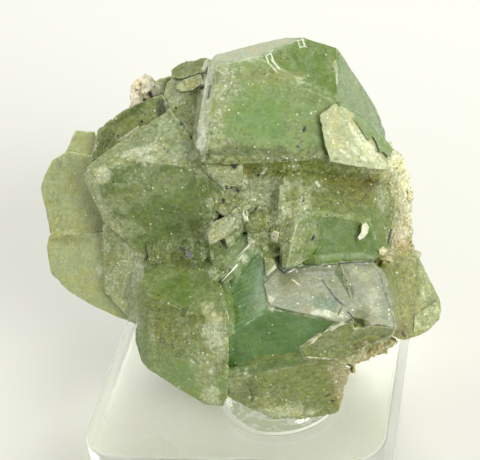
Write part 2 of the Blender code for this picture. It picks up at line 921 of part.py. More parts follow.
def broken_mass(name, corners):
    """A closed convex mesh through world corners."""
    shape = bmesh.new()
    for corner in corners:
        shape.verts.new(Vector(corner) * MM)
    bmesh.ops.convex_hull(shape, input=shape.verts[:])
    bmesh.ops.delete(shape, geom=[point for point in shape.verts if not point.link_faces], context="VERTS")
    bmesh.ops.recalc_face_normals(shape, faces=shape.faces[:])
    mesh = bpy.data.meshes.new(name)
    shape.to_mesh(mesh)
    shape.free()
    return mesh


def clear_scene():
    for thing in list(bpy.data.objects):
        bpy.data.objects.remove(thing)


def add_object(name, mesh, collection=None):
    thing = bpy.data.objects.new(name, mesh)
    (collection or bpy.context.scene.collection).objects.link(thing)
    return thing


def new_group(name):
    group = bpy.data.collections.new(name)
    bpy.context.scene.collection.children.link(group)
    return group


def add_floor_slab(floor, group):
    """A cutter that takes away everything below a level."""
    slab = bmesh.new()
    bmesh.ops.create_cube(slab, size=2.0 * BLOCK, matrix=Matrix.Translation((0.0, 0.0, floor - BLOCK)))
    mesh = bpy.data.meshes.new("slab")
    slab.to_mesh(mesh)
    slab.free()
    add_object("slab", mesh, group)


def add_pad_room(group):
    """A round cutter that keeps the feldspar clear of the pad."""
    room = bmesh.new()
    bmesh.ops.create_cone(
        room,
        cap_ends=True,
        segments=PAD_SIDES,
        radius1=PAD_RADIUS + 2.0 * TOUCH_GAP,
        radius2=PAD_RADIUS + 2.0 * TOUCH_GAP,
        depth=2.0 * (CRYSTAL_FLOOR - MATRIX_FLOOR),
        matrix=Matrix.Translation((*PAD_CENTRE, MATRIX_FLOOR)),
    )
    mesh = bpy.data.meshes.new("pad_room")
    room.to_mesh(mesh)
    room.free()
    add_object("pad_room", mesh, group)


def remove_group(group):
    for thing in list(group.objects):
        bpy.data.objects.remove(thing)
    bpy.data.collections.remove(group)


def boolean_with_group(target, operation, group):
    """Join every block of a group to the target, or cut them from it, and keep the plain mesh."""
    step = target.modifiers.new(operation.lower(), "BOOLEAN")
    step.operation = operation
    step.operand_type = "COLLECTION"
    step.collection = group
    step.solver = "EXACT"
    view = bpy.context.evaluated_depsgraph_get()
    mesh = bpy.data.meshes.new_from_object(target.evaluated_get(view))
    target.modifiers.clear()
    old = target.data
    target.data = mesh
    bpy.data.meshes.remove(old)
    mesh.name = target.name


def keep_main_body(thing):
    """Drop loose chips and closed pockets, and merge points that lie closer than CLOSE."""
    shape = bmesh.new()
    shape.from_mesh(thing.data)
    bmesh.ops.remove_doubles(shape, verts=shape.verts[:], dist=CLOSE)
    bmesh.ops.dissolve_degenerate(shape, edges=shape.edges[:], dist=CLOSE)
    left = set(shape.faces)
    bodies = []
    while left:
        body = {left.pop()}
        front = set(body)
        while front:
            reached = {face for side in front for edge in side.edges for face in edge.link_faces}
            front = reached - body
            body |= front
        left -= body
        bodies.append(body)
    bodies.sort(key=len, reverse=True)
    loose = [face for body in bodies[1:] for face in body]
    bmesh.ops.delete(shape, geom=loose, context="FACES")
    shape.to_mesh(thing.data)
    shape.free()


def material(name, colour, roughness, clear=0.0, ior=1.5):
    finish = bpy.data.materials.new(name)
    finish.use_nodes = True
    shader = finish.node_tree.nodes["Principled BSDF"]
    shader.inputs["Base Color"].default_value = (*colour, 1.0)
    shader.inputs["Roughness"].default_value = roughness
    shader.inputs["Transmission Weight"].default_value = clear
    shader.inputs["IOR"].default_value = ior
    return finish


def build_crystals():
    chance = random.Random(PIT_SEED)
    blocks = new_group("crystal_blocks")
    for name, block in CRYSTALS.items():
        inside, planes = block_planes(block)
        add_object("crystal_" + name, solid_from_planes(name, inside, planes), blocks)
    inside, planes = block_planes(CRYSTALS["core"])
    crystals = add_object("herderite_crystals", solid_from_planes("herderite_crystals", inside, planes))
    bpy.data.objects.remove(blocks.objects["crystal_core"])
    for name, face, outline, proud in LAYERS:
        add_object("layer", layer("layer", CRYSTALS[name], face, outline, proud), blocks)
    boolean_with_group(crystals, "UNION", blocks)
    remove_group(blocks)
    below = new_group("below")
    add_floor_slab(CRYSTAL_FLOOR, below)
    for place, size in PITS:
        add_object("pit", grain("pit", spot(place), size * MM, chance), below)
    boolean_with_group(crystals, "DIFFERENCE", below)
    remove_group(below)
    keep_main_body(crystals)
    crystals.data.materials.append(material("herderite", (0.22, 0.36, 0.13), 0.25, 0.3, 1.6))
    return crystals


def build_matrix():
    chance = random.Random(GRAIN_SEED)
    blocks = new_group("matrix_blocks")
    for name, block in MATRIX.items():
        inside, planes = block_planes(block)
        add_object("matrix_" + name, solid_from_planes(name, inside, planes), blocks)
    for name, corners in MASSES.items():
        if name != "bulk":
            add_object("mass_" + name, broken_mass(name, corners), blocks)
    rows = [(True, row) for row in RIM_GRAINS] + [(False, row) for row in BACK_GRAINS]
    for on_sheet, (start, end, count, size) in rows:
        for place in range(count):
            along = (place + 0.5) / count
            corner = [a + (b - a) * along + chance.uniform(-0.2, 0.2) * size for a, b in zip(start, end)]
            centre = spot(corner) if on_sheet else Vector(corner) * MM
            mesh = grain("grain", centre, size * MM * chance.uniform(0.75, 1.15), chance)
            add_object("grain", mesh, blocks)
    matrix = add_object("feldspar_matrix", broken_mass("feldspar_matrix", MASSES["bulk"]))
    boolean_with_group(matrix, "UNION", blocks)
    remove_group(blocks)
    room = new_group("crystal_room")
    for name, block in CRYSTALS.items():
        inside, planes = block_planes(block)
        add_object("room_" + name, solid_from_planes(name, inside, planes, TOUCH_GAP), room)
    add_floor_slab(MATRIX_FLOOR, room)
    add_pad_room(room)
    boolean_with_group(matrix, "DIFFERENCE", room)
    remove_group(room)
    keep_main_body(matrix)
    matrix.data.materials.append(material("feldspar", (0.62, 0.57, 0.42), 0.8))
    return matrix


def build_pad():
    """A clear round pad: a short upright rim and a dome that flattens at the top."""
    rings = [
        (0.97, 0.0),
        (1.0, 0.06),
        (1.0, 0.22),
        (0.96, 0.42),
        (0.87, 0.63),
        (0.72, 0.81),
        (0.52, 0.93),
        (0.28, 1.0),
    ]
    shape = bmesh.new()
    floor = PLATE_THICKNESS + TOUCH_GAP
    height = PAD_HEIGHT - TOUCH_GAP
    loops = []
    for radius, level in rings:
        loops.append([
            shape.verts.new((
                PAD_CENTRE[0] + PAD_RADIUS * radius * math.cos(math.tau * step / PAD_SIDES),
                PAD_CENTRE[1] + PAD_RADIUS * radius * math.sin(math.tau * step / PAD_SIDES),
                floor + height * level,
            ))
            for step in range(PAD_SIDES)
        ])
    for low, high in zip(loops, loops[1:]):
        for step in range(PAD_SIDES):
            after = (step + 1) % PAD_SIDES
            shape.faces.new((low[step], low[after], high[after], high[step]))
    shape.faces.new(list(reversed(loops[0])))
    shape.faces.new(loops[-1])
    mesh = bpy.data.meshes.new("clear_pad")
    shape.to_mesh(mesh)
    shape.free()
    pad = add_object("clear_pad", mesh)
    mesh.materials.append(material("clear_resin", (0.95, 0.97, 0.94), 0.05, 1.0, 1.49))
    return pad


def build_plate():
    """A clear square plate with rounded corners and slightly eased edges."""
    half = PLATE_WIDTH / 2
    shape = bmesh.new()
    levels = [
        (0.0, PLATE_EASE),
        (PLATE_EASE, 0.0),
        (PLATE_THICKNESS - PLATE_EASE, 0.0),
        (PLATE_THICKNESS, PLATE_EASE),
    ]
    loops = []
    for level, inset in levels:
        loop = []
        for corner in range(4):
            turn = math.tau * corner / 4
            sign_x = 1 if corner in (0, 3) else -1
            sign_y = 1 if corner in (0, 1) else -1
            for step in range(CORNER_STEPS + 1):
                angle = turn + math.tau / 4 * step / CORNER_STEPS
                loop.append(shape.verts.new((
                    sign_x * (half - PLATE_CORNER) + (PLATE_CORNER - inset) * math.cos(angle),
                    sign_y * (half - PLATE_CORNER) + (PLATE_CORNER - inset) * math.sin(angle),
                    level,
                )))
        loops.append(loop)
    count = len(loops[0])
    for low, high in zip(loops, loops[1:]):
        for step in range(count):
            after = (step + 1) % count
            shape.faces.new((low[step], low[after], high[after], high[step]))
    shape.faces.new(list(reversed(loops[0])))
    shape.faces.new(loops[-1])
    mesh = bpy.data.meshes.new("acrylic_base")
    shape.to_mesh(mesh)
    shape.free()
    plate = add_object("acrylic_base", mesh)
    mesh.materials.append(material("acrylic", (0.96, 0.97, 0.94), 0.03, 1.0, 1.49))
    return plate


clear_scene()
build_crystals()
build_matrix()
build_pad()
build_plate()
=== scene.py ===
# %% [markdown]
# # A herderite specimen on its clear display base
# Herderite grows as glassy, blocky crystals that push into one another, so most faces are cut short by a
# neighbour. This one is mint green inside, olive where the surface is etched, and white where fine cracks
# scatter the light. It sits on broken feldspar and rests on a round clear pad on a square clear base.
#
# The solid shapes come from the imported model. This script dresses them: it refills their faces with fine
# meshes, carves wear and growth relief, paints the colour zones, and lights the specimen on a pale table.

import math
import random

import bmesh
import bpy
import numpy as np
from mathutils import Matrix, Vector, geometry, kdtree, noise
from mathutils.bvhtree import BVHTree


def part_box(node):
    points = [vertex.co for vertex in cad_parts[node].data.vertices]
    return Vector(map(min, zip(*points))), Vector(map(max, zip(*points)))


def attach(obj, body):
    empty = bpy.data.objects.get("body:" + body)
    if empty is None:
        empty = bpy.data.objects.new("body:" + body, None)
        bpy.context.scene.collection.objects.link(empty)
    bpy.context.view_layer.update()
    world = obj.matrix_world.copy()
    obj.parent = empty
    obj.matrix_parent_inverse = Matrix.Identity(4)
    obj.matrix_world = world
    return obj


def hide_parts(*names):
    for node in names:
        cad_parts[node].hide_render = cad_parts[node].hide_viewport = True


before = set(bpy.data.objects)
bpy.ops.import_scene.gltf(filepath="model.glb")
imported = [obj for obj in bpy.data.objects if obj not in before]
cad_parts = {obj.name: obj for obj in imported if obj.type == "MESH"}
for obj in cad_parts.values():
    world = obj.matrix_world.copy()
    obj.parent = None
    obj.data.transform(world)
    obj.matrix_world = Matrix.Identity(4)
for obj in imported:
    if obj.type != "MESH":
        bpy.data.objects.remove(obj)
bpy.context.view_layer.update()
MM = 0.001
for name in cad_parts:
    low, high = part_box(name)
    print(name, "from", [round(v / MM, 1) for v in low], "to", [round(v / MM, 1) for v in high], "mm")

# %% [markdown]
# ## Where the viewer stands
# A specimen is usually looked at from a little above. Everything that is placed on the stone is
# given on a flat sheet that faces the camera: (right, up) in millimetres from the middle of the picture.
# A ray from the camera through that spot finds the place on the stone itself, so it stays there from
# every other side.

# %% The camera and the sheet that faces it
SHEET_CENTRE = Vector((2.0, -3.7, 26.0)) * MM
SHEET_TURN = math.radians(15.5)
SHEET_LEAN = math.radians(34.6)
SHEET_ROLL = math.radians(9.2)
EYE_DISTANCE = 150.0 * MM
LENS = 112.5

OUT = Vector((
    math.sin(SHEET_TURN) * math.cos(SHEET_LEAN),
    -math.cos(SHEET_TURN) * math.cos(SHEET_LEAN),
    math.sin(SHEET_LEAN),
))
LEVEL = Vector((math.cos(SHEET_TURN), math.sin(SHEET_TURN), 0.0))
STEEP = OUT.cross(LEVEL)
RIGHT = LEVEL * math.cos(SHEET_ROLL) - STEEP * math.sin(SHEET_ROLL)
UP = LEVEL * math.sin(SHEET_ROLL) + STEEP * math.cos(SHEET_ROLL)
EYE = SHEET_CENTRE + OUT * EYE_DISTANCE


def sight(spot):
    """The direction from the eye through a spot (right, up) on the sheet."""
    return (SHEET_CENTRE + (RIGHT * spot[0] + UP * spot[1]) * MM - EYE).normalized()


def link(thing):
    bpy.context.scene.collection.objects.link(thing)
    return thing


camera = link(bpy.data.objects.new("camera", bpy.data.cameras.new("camera")))
camera.matrix_world = Matrix.Translation(EYE) @ Matrix((RIGHT, UP, OUT)).transposed().to_4x4()
camera.data.lens = LENS
camera.data.clip_start = 0.01
camera.data.clip_end = 20.0
bpy.context.scene.camera = camera
print("camera at", [round(v / MM) for v in EYE], "mm")

# %% [markdown]
# ## The table and the light
# The specimen stands on a plain pale table under soft daylight. A wide window at the front right is the
# main light. A lamp above gives the sheen on the faces that lean back, a lower one at the left lights the
# left bevels and the floor there, and one behind lights the far table. The pale sky fills the shadows from
# all sides. The table is only a stage, not part of the specimen.

# %% The table
TABLE_HALF = 2.0
TABLE_DROP = 0.02 * MM


def srgb(red, green, blue):
    """A colour as a screen shows it, turned into the linear colour that a shader needs."""
    return tuple(c / 12.92 if c <= 0.04045 else ((c + 0.055) / 1.055) ** 2.4 for c in (red, green, blue))


def new_finish(name):
    """A new material, its node tree and its main shader."""
    finish = bpy.data.materials.new(name)
    finish.use_nodes = True
    return finish, finish.node_tree, finish.node_tree.nodes["Principled BSDF"]


table_mesh = bpy.data.meshes.new("table")
table_mesh.from_pydata(
    [(x * TABLE_HALF, y * TABLE_HALF, -TABLE_DROP) for x, y in ((-1, -1), (1, -1), (1, 1), (-1, 1))],
    [],
    [(0, 1, 2, 3)],
)
table = link(bpy.data.objects.new("table", table_mesh))
table_white, _, table_shader = new_finish("table_white")
table_shader.inputs["Base Color"].default_value = (*srgb(0.84, 0.84, 0.81), 1.0)
table_shader.inputs["Roughness"].default_value = 0.85
table_mesh.materials.append(table_white)


# %% The sky and the lamps
def lamp(name, place, size, watts, colour, aim=None):
    """A square soft lamp that looks at the specimen, or at another place."""
    light = bpy.data.lights.new(name, "AREA")
    light.size = size
    light.energy = watts
    light.color = colour
    thing = link(bpy.data.objects.new(name, light))
    thing.location = place
    back = Vector(place) - (SHEET_CENTRE if aim is None else Vector(aim))
    thing.rotation_euler = back.to_track_quat("Z", "Y").to_euler()
    return thing


sky = bpy.data.worlds.new("pale_sky")
sky.use_nodes = True
sky_light = sky.node_tree.nodes["Background"]
sky_light.inputs["Color"].default_value = (1.0, 0.995, 0.97, 1.0)
sky_light.inputs["Strength"].default_value = 0.50
bpy.context.scene.world = sky
bpy.context.scene.view_settings.view_transform = "Standard"
lamps = [
    lamp("ceiling", (0.16, 0.01, 0.52), 0.22, 0.55, (1.0, 0.99, 0.95)),
    lamp("window", (0.70, -0.68, 0.55), 0.42, 8.2, (1.0, 0.995, 0.97)),
    lamp("side_window", (-0.743, 0.213, 0.22), 0.30, 1.7, (0.99, 0.995, 1.0)),
    lamp("back_window", (0.06, 0.27, 0.40), 0.20, 1.3, (0.97, 0.985, 1.0), (0.03, 0.36, 0.0)),
]
print("lamps:", [thing.name for thing in lamps])

# %% [markdown]
# ## Turning flat faces into fine meshes
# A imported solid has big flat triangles. Wear, growth steps and colour zones need many more points, but the
# faces must stay flat and their edges crisp. Remeshing with voxels would blur the edges, and subdividing
# long triangles leaves slivers. So each flat face is filled afresh: its outline is cut into short steps, a
# row of points runs just inside it, a loose grid fills the rest, and a Delaunay fill joins them all.

# %% Reading the flat faces of a node
WELD = 0.002 * MM
FLAT_ANGLE = math.radians(0.6)


def flat_faces(node):
    """The node's faces as flat many-sided polygons that share their corners."""
    shape = bmesh.new()
    shape.from_mesh(node.data)
    bmesh.ops.remove_doubles(shape, verts=shape.verts[:], dist=WELD)
    bmesh.ops.dissolve_degenerate(shape, edges=shape.edges[:], dist=WELD)
    bmesh.ops.dissolve_limit(
        shape,
        angle_limit=FLAT_ANGLE,
        use_dissolve_boundaries=False,
        verts=shape.verts[:],
        edges=shape.edges[:],
    )
    shape.normal_update()
    shape.faces.ensure_lookup_table()
    return shape


def spot_finder(shape):
    """A function that finds the place and the flat face behind a spot (right, up) on the sheet."""
    tree = BVHTree.FromBMesh(shape)

    def find(spot):
        place, _, face, _ = tree.ray_cast(EYE, sight(spot))
        return place, face

    return find


def cut_long_edges(shape, spacings):
    """Cut every edge into equal steps that are no longer than the spacing of the faces beside it."""
    by_cuts = {}
    for edge in shape.edges:
        spacing = min(spacings[face.index] for face in edge.link_faces)
        by_cuts.setdefault(math.ceil(edge.calc_length() / spacing) - 1, []).append(edge)
    for cuts, edges in by_cuts.items():
        if cuts > 0:
            bmesh.ops.bisect_edges(shape, edges=edges, cuts=cuts)
    shape.verts.index_update()


# %% Points inside one flat face
ROW_INSET = 0.12 * MM
ROW_CLEARANCE = 0.9
GRID_CLEARANCE = 0.45
GRID_JITTER = 0.22


def inside_outline(points, outline):
    """True for each point inside a closed outline, by counting the sides that a line to the right crosses."""
    ends = np.roll(outline, -1, axis=0)
    level = points[:, 1:2]
    crosses = (outline[:, 1] > level) != (ends[:, 1] > level)
    rise = np.where(ends[:, 1] == outline[:, 1], 1e-12, ends[:, 1] - outline[:, 1])
    meets = outline[:, 0] + (level - outline[:, 1]) / rise * (ends[:, 0] - outline[:, 0])
    return (crosses & (points[:, 0:1] < meets)).sum(axis=1) % 2 == 1


def outline_distance(points, outline):
    """How far each point is from the nearest side of the outline."""
    along = np.roll(outline, -1, axis=0) - outline
    offset = points[:, None, :] - outline[None, :, :]
    share = (offset * along).sum(axis=2) / np.maximum((along ** 2).sum(axis=1), 1e-18)
    gap = offset - np.clip(share, 0.0, 1.0)[..., None] * along
    return np.sqrt((gap ** 2).sum(axis=2)).min(axis=1)


def keep_inside(points, outline, clearance):
    """The points that lie inside the outline and at least a clearance from it."""
    points = np.array(points).reshape(-1, 2)
    points = points[inside_outline(points, outline)]
    if len(points):
        points = points[outline_distance(points, outline) > clearance]
    return points


def filling_points(outline, spacing, chance):
    """A row of points just inside the outline and a loose triangular grid over the rest."""
    ends = np.roll(outline, -1, axis=0)
    along = ends - outline
    inward = np.stack([-along[:, 1], along[:, 0]], axis=1)
    inward /= np.maximum(np.linalg.norm(inward, axis=1, keepdims=True), 1e-12)
    row = keep_inside((outline + ends) / 2 + inward * ROW_INSET, outline, ROW_INSET * ROW_CLEARANCE)
    low, high = outline.min(axis=0), outline.max(axis=0)
    rise = spacing * math.sqrt(3) / 2
    grid = []
    for line in range(int((high[1] - low[1]) / rise) + 2):
        for step in range(int((high[0] - low[0]) / spacing) + 2):
            grid.append((
                low[0] + (step + line % 2 / 2 + chance.uniform(-GRID_JITTER, GRID_JITTER)) * spacing,
                low[1] + line * rise + chance.uniform(-GRID_JITTER, GRID_JITTER) * spacing,
            ))
    grid = keep_inside(grid, outline, ROW_INSET + spacing * GRID_CLEARANCE)
    return np.concatenate([row, grid])


# %% Filling every flat face
FRONT_LOOK = 0.02
MARK_CLEARANCE = 0.3
CDT_INSIDE = 1
CDT_GRAIN = 1e-5


def fine_mesh(name, shape, fine, coarse, seed, extra=None):
    """A mesh of small triangles over flat faces. Returns it with the flat face that each triangle is on.

    Faces that look to the front are filled finely and the others coarsely. extra holds more points, as
    {flat face number: [place, ...]}, where a mark needs a finer mesh.
    """
    chance = random.Random(seed)
    normals = [face.normal.copy() for face in shape.faces]
    spacings = [fine if normal.dot(OUT) > FRONT_LOOK else coarse for normal in normals]
    cut_long_edges(shape, spacings)
    points = [vert.co.copy() for vert in shape.verts]
    triangles, owners = [], []
    for owner, face in enumerate(shape.faces):
        normal = normals[owner]
        across = normal.orthogonal().normalized()
        upward = normal.cross(across)
        base = face.verts[0].co.copy()

        def flat(place):
            return (place - base).dot(across), (place - base).dot(upward)

        outline = np.array([flat(vert.co) for vert in face.verts])
        inner = filling_points(outline, spacings[owner], chance)
        marks = [flat(place) for place in (extra or {}).get(owner, [])]
        if marks:
            marks = keep_inside(marks, outline, ROW_INSET * MARK_CLEARANCE)
            inner = np.concatenate([far_from(inner, marks, ROW_INSET), marks])
        sheet = [Vector(p) / MM for p in outline] + [Vector(p) / MM for p in inner]
        fill = geometry.delaunay_2d_cdt(sheet, [], [list(range(len(outline)))], CDT_INSIDE, CDT_GRAIN)
        numbers = []
        for (x, y), sources in zip(fill[0], fill[3]):
            corners = [source for source in sources if source < len(outline)]
            if corners:
                numbers.append(face.verts[corners[0]].index)
            else:
                numbers.append(len(points))
                points.append(base + (across * x + upward * y) * MM)
        for corners in fill[2]:
            triangle = [numbers[corner] for corner in corners]
            if len(set(triangle)) == 3:
                triangles.append(triangle)
                owners.append(owner)
    mesh = bpy.data.meshes.new(name)
    mesh.from_pydata(points, [], triangles)
    print(name, "has", len(normals), "flat faces, filled with", len(triangles), "triangles")
    return mesh, np.array(owners), np.array(normals)


def far_from(points, others, distance):
    """The points that are further than a distance from all the others."""
    for other in others:
        points = points[np.linalg.norm(points - other, axis=1) > distance]
    return points


# %% [markdown]
# ## Ridges and clefts
# On a real crystal the outer edges wear and chip first, and the inner corners fill in a little. Both need to
# know which points are on an edge, how sharp it is, and which way it bends. Two triangles on different
# flat faces share each edge: the corner of one, seen from the other's face, is below it on an outer edge
# and above it in an inner corner.

# %% Measuring the edges of a fine mesh
BENT = 0.01


def triangle_corners(mesh):
    """The point numbers of each triangle, one row a triangle."""
    corners = np.empty(len(mesh.polygons) * 3, dtype=np.int32)
    mesh.polygons.foreach_get("vertices", corners)
    return corners.reshape(-1, 3)


def edge_measures(mesh, owners, normals):
    """Per point: its average outward direction, how sharp an outer edge it is on, and how sharp a corner."""
    places = np.empty(len(mesh.vertices) * 3)
    mesh.vertices.foreach_get("co", places)
    places = places.reshape(-1, 3)
    corners = triangle_corners(mesh)
    directions = np.zeros((len(places), 3))
    pairs = np.unique(np.stack([corners.ravel(), np.repeat(owners, 3)], axis=1), axis=0)
    np.add.at(directions, pairs[:, 0], normals[pairs[:, 1]])
    directions /= np.maximum(np.linalg.norm(directions, axis=1, keepdims=True), 1e-9)
    ridge = np.zeros(len(places))
    cleft = np.zeros(len(places))
    seen = {}
    for number, (a, b, c) in enumerate(corners.tolist()):
        for start, end, tip in ((a, b, c), (b, c, a), (c, a, b)):
            other = seen.pop((end, start), None)
            if other is None:
                seen[(start, end)] = (number, tip)
                continue
            one, two = normals[owners[number]], normals[owners[other[0]]]
            bend = 1.0 - one @ two
            if bend > BENT:
                kind = ridge if one @ (places[other[1]] - places[start]) < 0 else cleft
                kind[start] = max(kind[start], bend)
                kind[end] = max(kind[end], bend)
    return places, directions, ridge, cleft


def distance_to(places, chosen):
    """Per point: how far it is from the nearest chosen point, and which one that is."""
    tree = kdtree.KDTree(int(chosen.sum()))
    for number in np.flatnonzero(chosen):
        tree.insert(places[number], int(number))
    tree.balance()
    found = [tree.find(place) for place in places]
    return np.array([item[2] for item in found]), np.array([item[1] for item in found])


def ramp(values, start, end):
    """0 before start, 1 after end, and a smooth rise between."""
    share = np.clip((values - start) / (end - start), 0.0, 1.0)
    return share * share * (3.0 - 2.0 * share)


def rough_field(places, scale, octaves, seed):
    """Per point: smooth noise of a given number of features per millimetre, about -1 to 1."""
    shift = Vector((seed * 17.3, seed * 5.1, seed * 9.7))
    return np.array([
        noise.fractal(Vector(place) / MM * scale + shift, 0.9, 2.1, octaves) for place in places.tolist()
    ])


# %% [markdown]
# ## The finishes of the stone
# One crystal shows many finishes. Clear mint, deep green, olive etched skin, white frosting, brown iron
# stain. Each is written as a screen colour and five amounts from 0 to 1: frost (white veils), etch (pitted
# and rough), specks (black grains), sparkle (tiny painted glints) and gloss. A place on the stone is a mix
# of them.

# %% Finishes
FINISHES = {
    # name: (screen colour, frost, etch, specks, sparkle, gloss)
    "mint": ((0.53, 0.615, 0.38), 0.10, 0.12, 0.06, 0.25, 0.60),
    "mint_bright": ((0.49, 0.615, 0.37), 0.02, 0.05, 0.03, 0.15, 0.70),
    "mint_pale": ((0.60, 0.66, 0.45), 0.30, 0.30, 0.06, 0.35, 0.50),
    "deep": ((0.455, 0.525, 0.315), 0.05, 0.30, 0.10, 0.20, 0.60),
    "deep_clear": ((0.385, 0.52, 0.285), 0.00, 0.08, 0.04, 0.12, 0.80),
    "deep_green": ((0.43, 0.53, 0.28), 0.00, 0.16, 0.08, 0.15, 0.40),
    "blue_green": ((0.52, 0.61, 0.44), 0.12, 0.02, 0.02, 0.10, 0.75),
    "teal": ((0.54, 0.67, 0.49), 0.12, 0.15, 0.04, 0.25, 0.65),
    "teal_grey": ((0.58, 0.66, 0.48), 0.30, 0.30, 0.05, 0.30, 0.50),
    "olive": ((0.50, 0.55, 0.29), 0.08, 0.60, 0.15, 0.50, 0.40),
    "olive_smooth": ((0.53, 0.58, 0.34), 0.08, 0.28, 0.10, 0.30, 0.50),
    "olive_bright": ((0.42, 0.52, 0.20), 0.02, 0.25, 0.06, 0.20, 0.60),
    "olive_green": ((0.49, 0.555, 0.31), 0.06, 0.40, 0.10, 0.35, 0.45),
    "olive_grey": ((0.54, 0.58, 0.37), 0.12, 0.50, 0.12, 0.45, 0.45),
    "yellow_olive": ((0.60, 0.61, 0.37), 0.10, 0.40, 0.12, 0.25, 0.45),
    "dark_olive": ((0.38, 0.43, 0.20), 0.05, 0.50, 0.25, 0.20, 0.40),
    "grey_green": ((0.57, 0.62, 0.44), 0.25, 0.40, 0.10, 0.40, 0.45),
    "pale_green": ((0.71, 0.74, 0.56), 0.12, 0.04, 0.04, 0.15, 0.60),
    "pale_olive": ((0.66, 0.69, 0.48), 0.30, 0.40, 0.08, 0.35, 0.45),
    "pale_grey": ((0.66, 0.69, 0.52), 0.35, 0.35, 0.06, 0.30, 0.45),
    "flecked": ((0.62, 0.66, 0.48), 0.40, 0.50, 0.12, 0.85, 0.50),
    "frost": ((0.74, 0.77, 0.61), 0.50, 0.36, 0.08, 0.60, 0.40),
    "white": ((0.90, 0.91, 0.80), 0.80, 0.35, 0.02, 0.50, 0.45),
    # partly painted light: the pale top face is frost and a painted sheen of the sky it mirrors
    "roof_frost_and_sheen": ((0.76, 0.78, 0.67), 0.30, 0.05, 0.02, 0.20, 0.70),
    # painted sheen: this pale grey on the ledge top stands in for the lamp and sky that it mirrors
    "sheen": ((0.57, 0.59, 0.49), 0.12, 0.08, 0.04, 0.40, 0.85),
    # painted sheen: a cool blue patch where the ledge top mirrors the sky
    "blue_sheen": ((0.42, 0.52, 0.43), 0.12, 0.15, 0.03, 0.60, 0.85),
    "brown": ((0.42, 0.36, 0.18), 0.05, 0.60, 0.40, 0.15, 0.30),
    "rust": ((0.53, 0.48, 0.28), 0.10, 0.60, 0.40, 0.20, 0.30),
    # painted shade: near-black olive for creases, recesses and the crease along the ledge's back edge
    "recess_shade": ((0.25, 0.28, 0.11), 0.00, 0.50, 0.30, 0.05, 0.35),
    "black": ((0.07, 0.07, 0.04), 0.00, 0.20, 0.00, 0.00, 0.40),
    "chip_pale": ((0.71, 0.73, 0.585), 0.20, 0.12, 0.03, 0.30, 0.55),
    "snow": ((1.0, 1.0, 0.92), 0.80, 0.20, 0.02, 0.50, 0.45),
    "cream": ((0.88, 0.87, 0.73), 0.50, 0.50, 0.10, 0.40, 0.35),
    "pink_cream": ((0.84, 0.80, 0.73), 0.50, 0.50, 0.25, 0.40, 0.30),
    "sand": ((0.70, 0.66, 0.50), 0.30, 0.60, 0.35, 0.30, 0.25),
}
CHANNELS = ("frost", "etch", "specks", "sparkle", "gloss")
print(len(FINISHES), "finishes")

# %% [markdown]
# ## Which face has which finish
# Each face of a crystal took its own finish while it grew or broke, so the paint starts face by face. A
# face is named by one spot on it. The faces that can't be seen from the front take the finish of the
# nearest named one, so a crystal keeps its colour round its sides.

# %% The finish of each face, by a spot on it
FACE_FINISHES = {
    # the top crystal
    (-0.6, 12.0): "mint",
    (-3.7, 11.0): "pale_grey",
    # the top face: frost and a painted sheen
    (1.0, 18.1): "roof_frost_and_sheen",
    (7.2, 17.0): "olive_bright",
    (12.4, 12.6): "blue_green",
    # the left crystal
    (-8.0, 2.0): "deep",
    (-11.4, 7.6): "grey_green",
    (-6.6, 8.6): "grey_green",
    (-14.3, 3.5): "pale_grey",
    # the pieces above and behind it
    (-5.2, 11.5): "olive_grey",
    (-5.4, 14.6): "pale_olive",
    (-4.8, 16.3): "olive_grey",
    (-11.5, 10.4): "olive_grey",
    (-15.8, 8.8): "pale_green",
    (-16.8, 3.0): "pale_green",
    (-16.4, -3.2): "pale_green",
    (-12.2, -3.6): "pale_grey",
    (-9.95, -4.4): "pale_olive",
    # the lower left crystal
    (-7.5, -4.2): "olive_green",
    (-3.4, -4.6): "olive_green",
    (-9.9, -10.0): "olive_green",
    (-7.4, -10.0): "olive_grey",
    (-3.0, -12.0): "olive_grey",
    (-2.2, -7.9): "olive_grey",
    (-6.0, -14.4): "mint",
    # the small pieces at the centre
    (1.2, 3.4): "flecked",
    (3.6, 4.6): "flecked",
    (-1.0, 5.6): "flecked",
    (-2.5, 0.3): "frost",
    (-0.9, -0.2): "grey_green",
    (2.0, 0.4): "grey_green",
    (-1.4, -2.6): "teal_grey",
    (4.4, -1.0): "grey_green",
    (5.6, -1.8): "grey_green",
    # the right crystal
    (9.5, 4.0): "olive",
    (10.0, -1.4): "deep_green",
    (14.6, 2.0): "olive_grey",
    (12.3, -0.1): "deep_green",
    (9.5, -2.9): "deep_green",
    # the ledge crystal, with a painted sheen on its top
    (5.5, -5.6): "sheen",
    (13.0, -6.5): "sheen",
    (5.0, -10.5): "deep_clear",
    (1.0, -6.5): "teal",
    (10.5, -10.8): "olive_grey",
    # the wing and the foot
    (16.5, -6.0): "yellow_olive",
    (19.0, -5.6): "pale_olive",
    (19.3, -8.8): "pale_olive",
    (5.0, -15.5): "olive_smooth",
    (0.6, -16.0): "olive_grey",
    (10.2, -15.0): "sand",
}
print(len(FACE_FINISHES), "faces named")
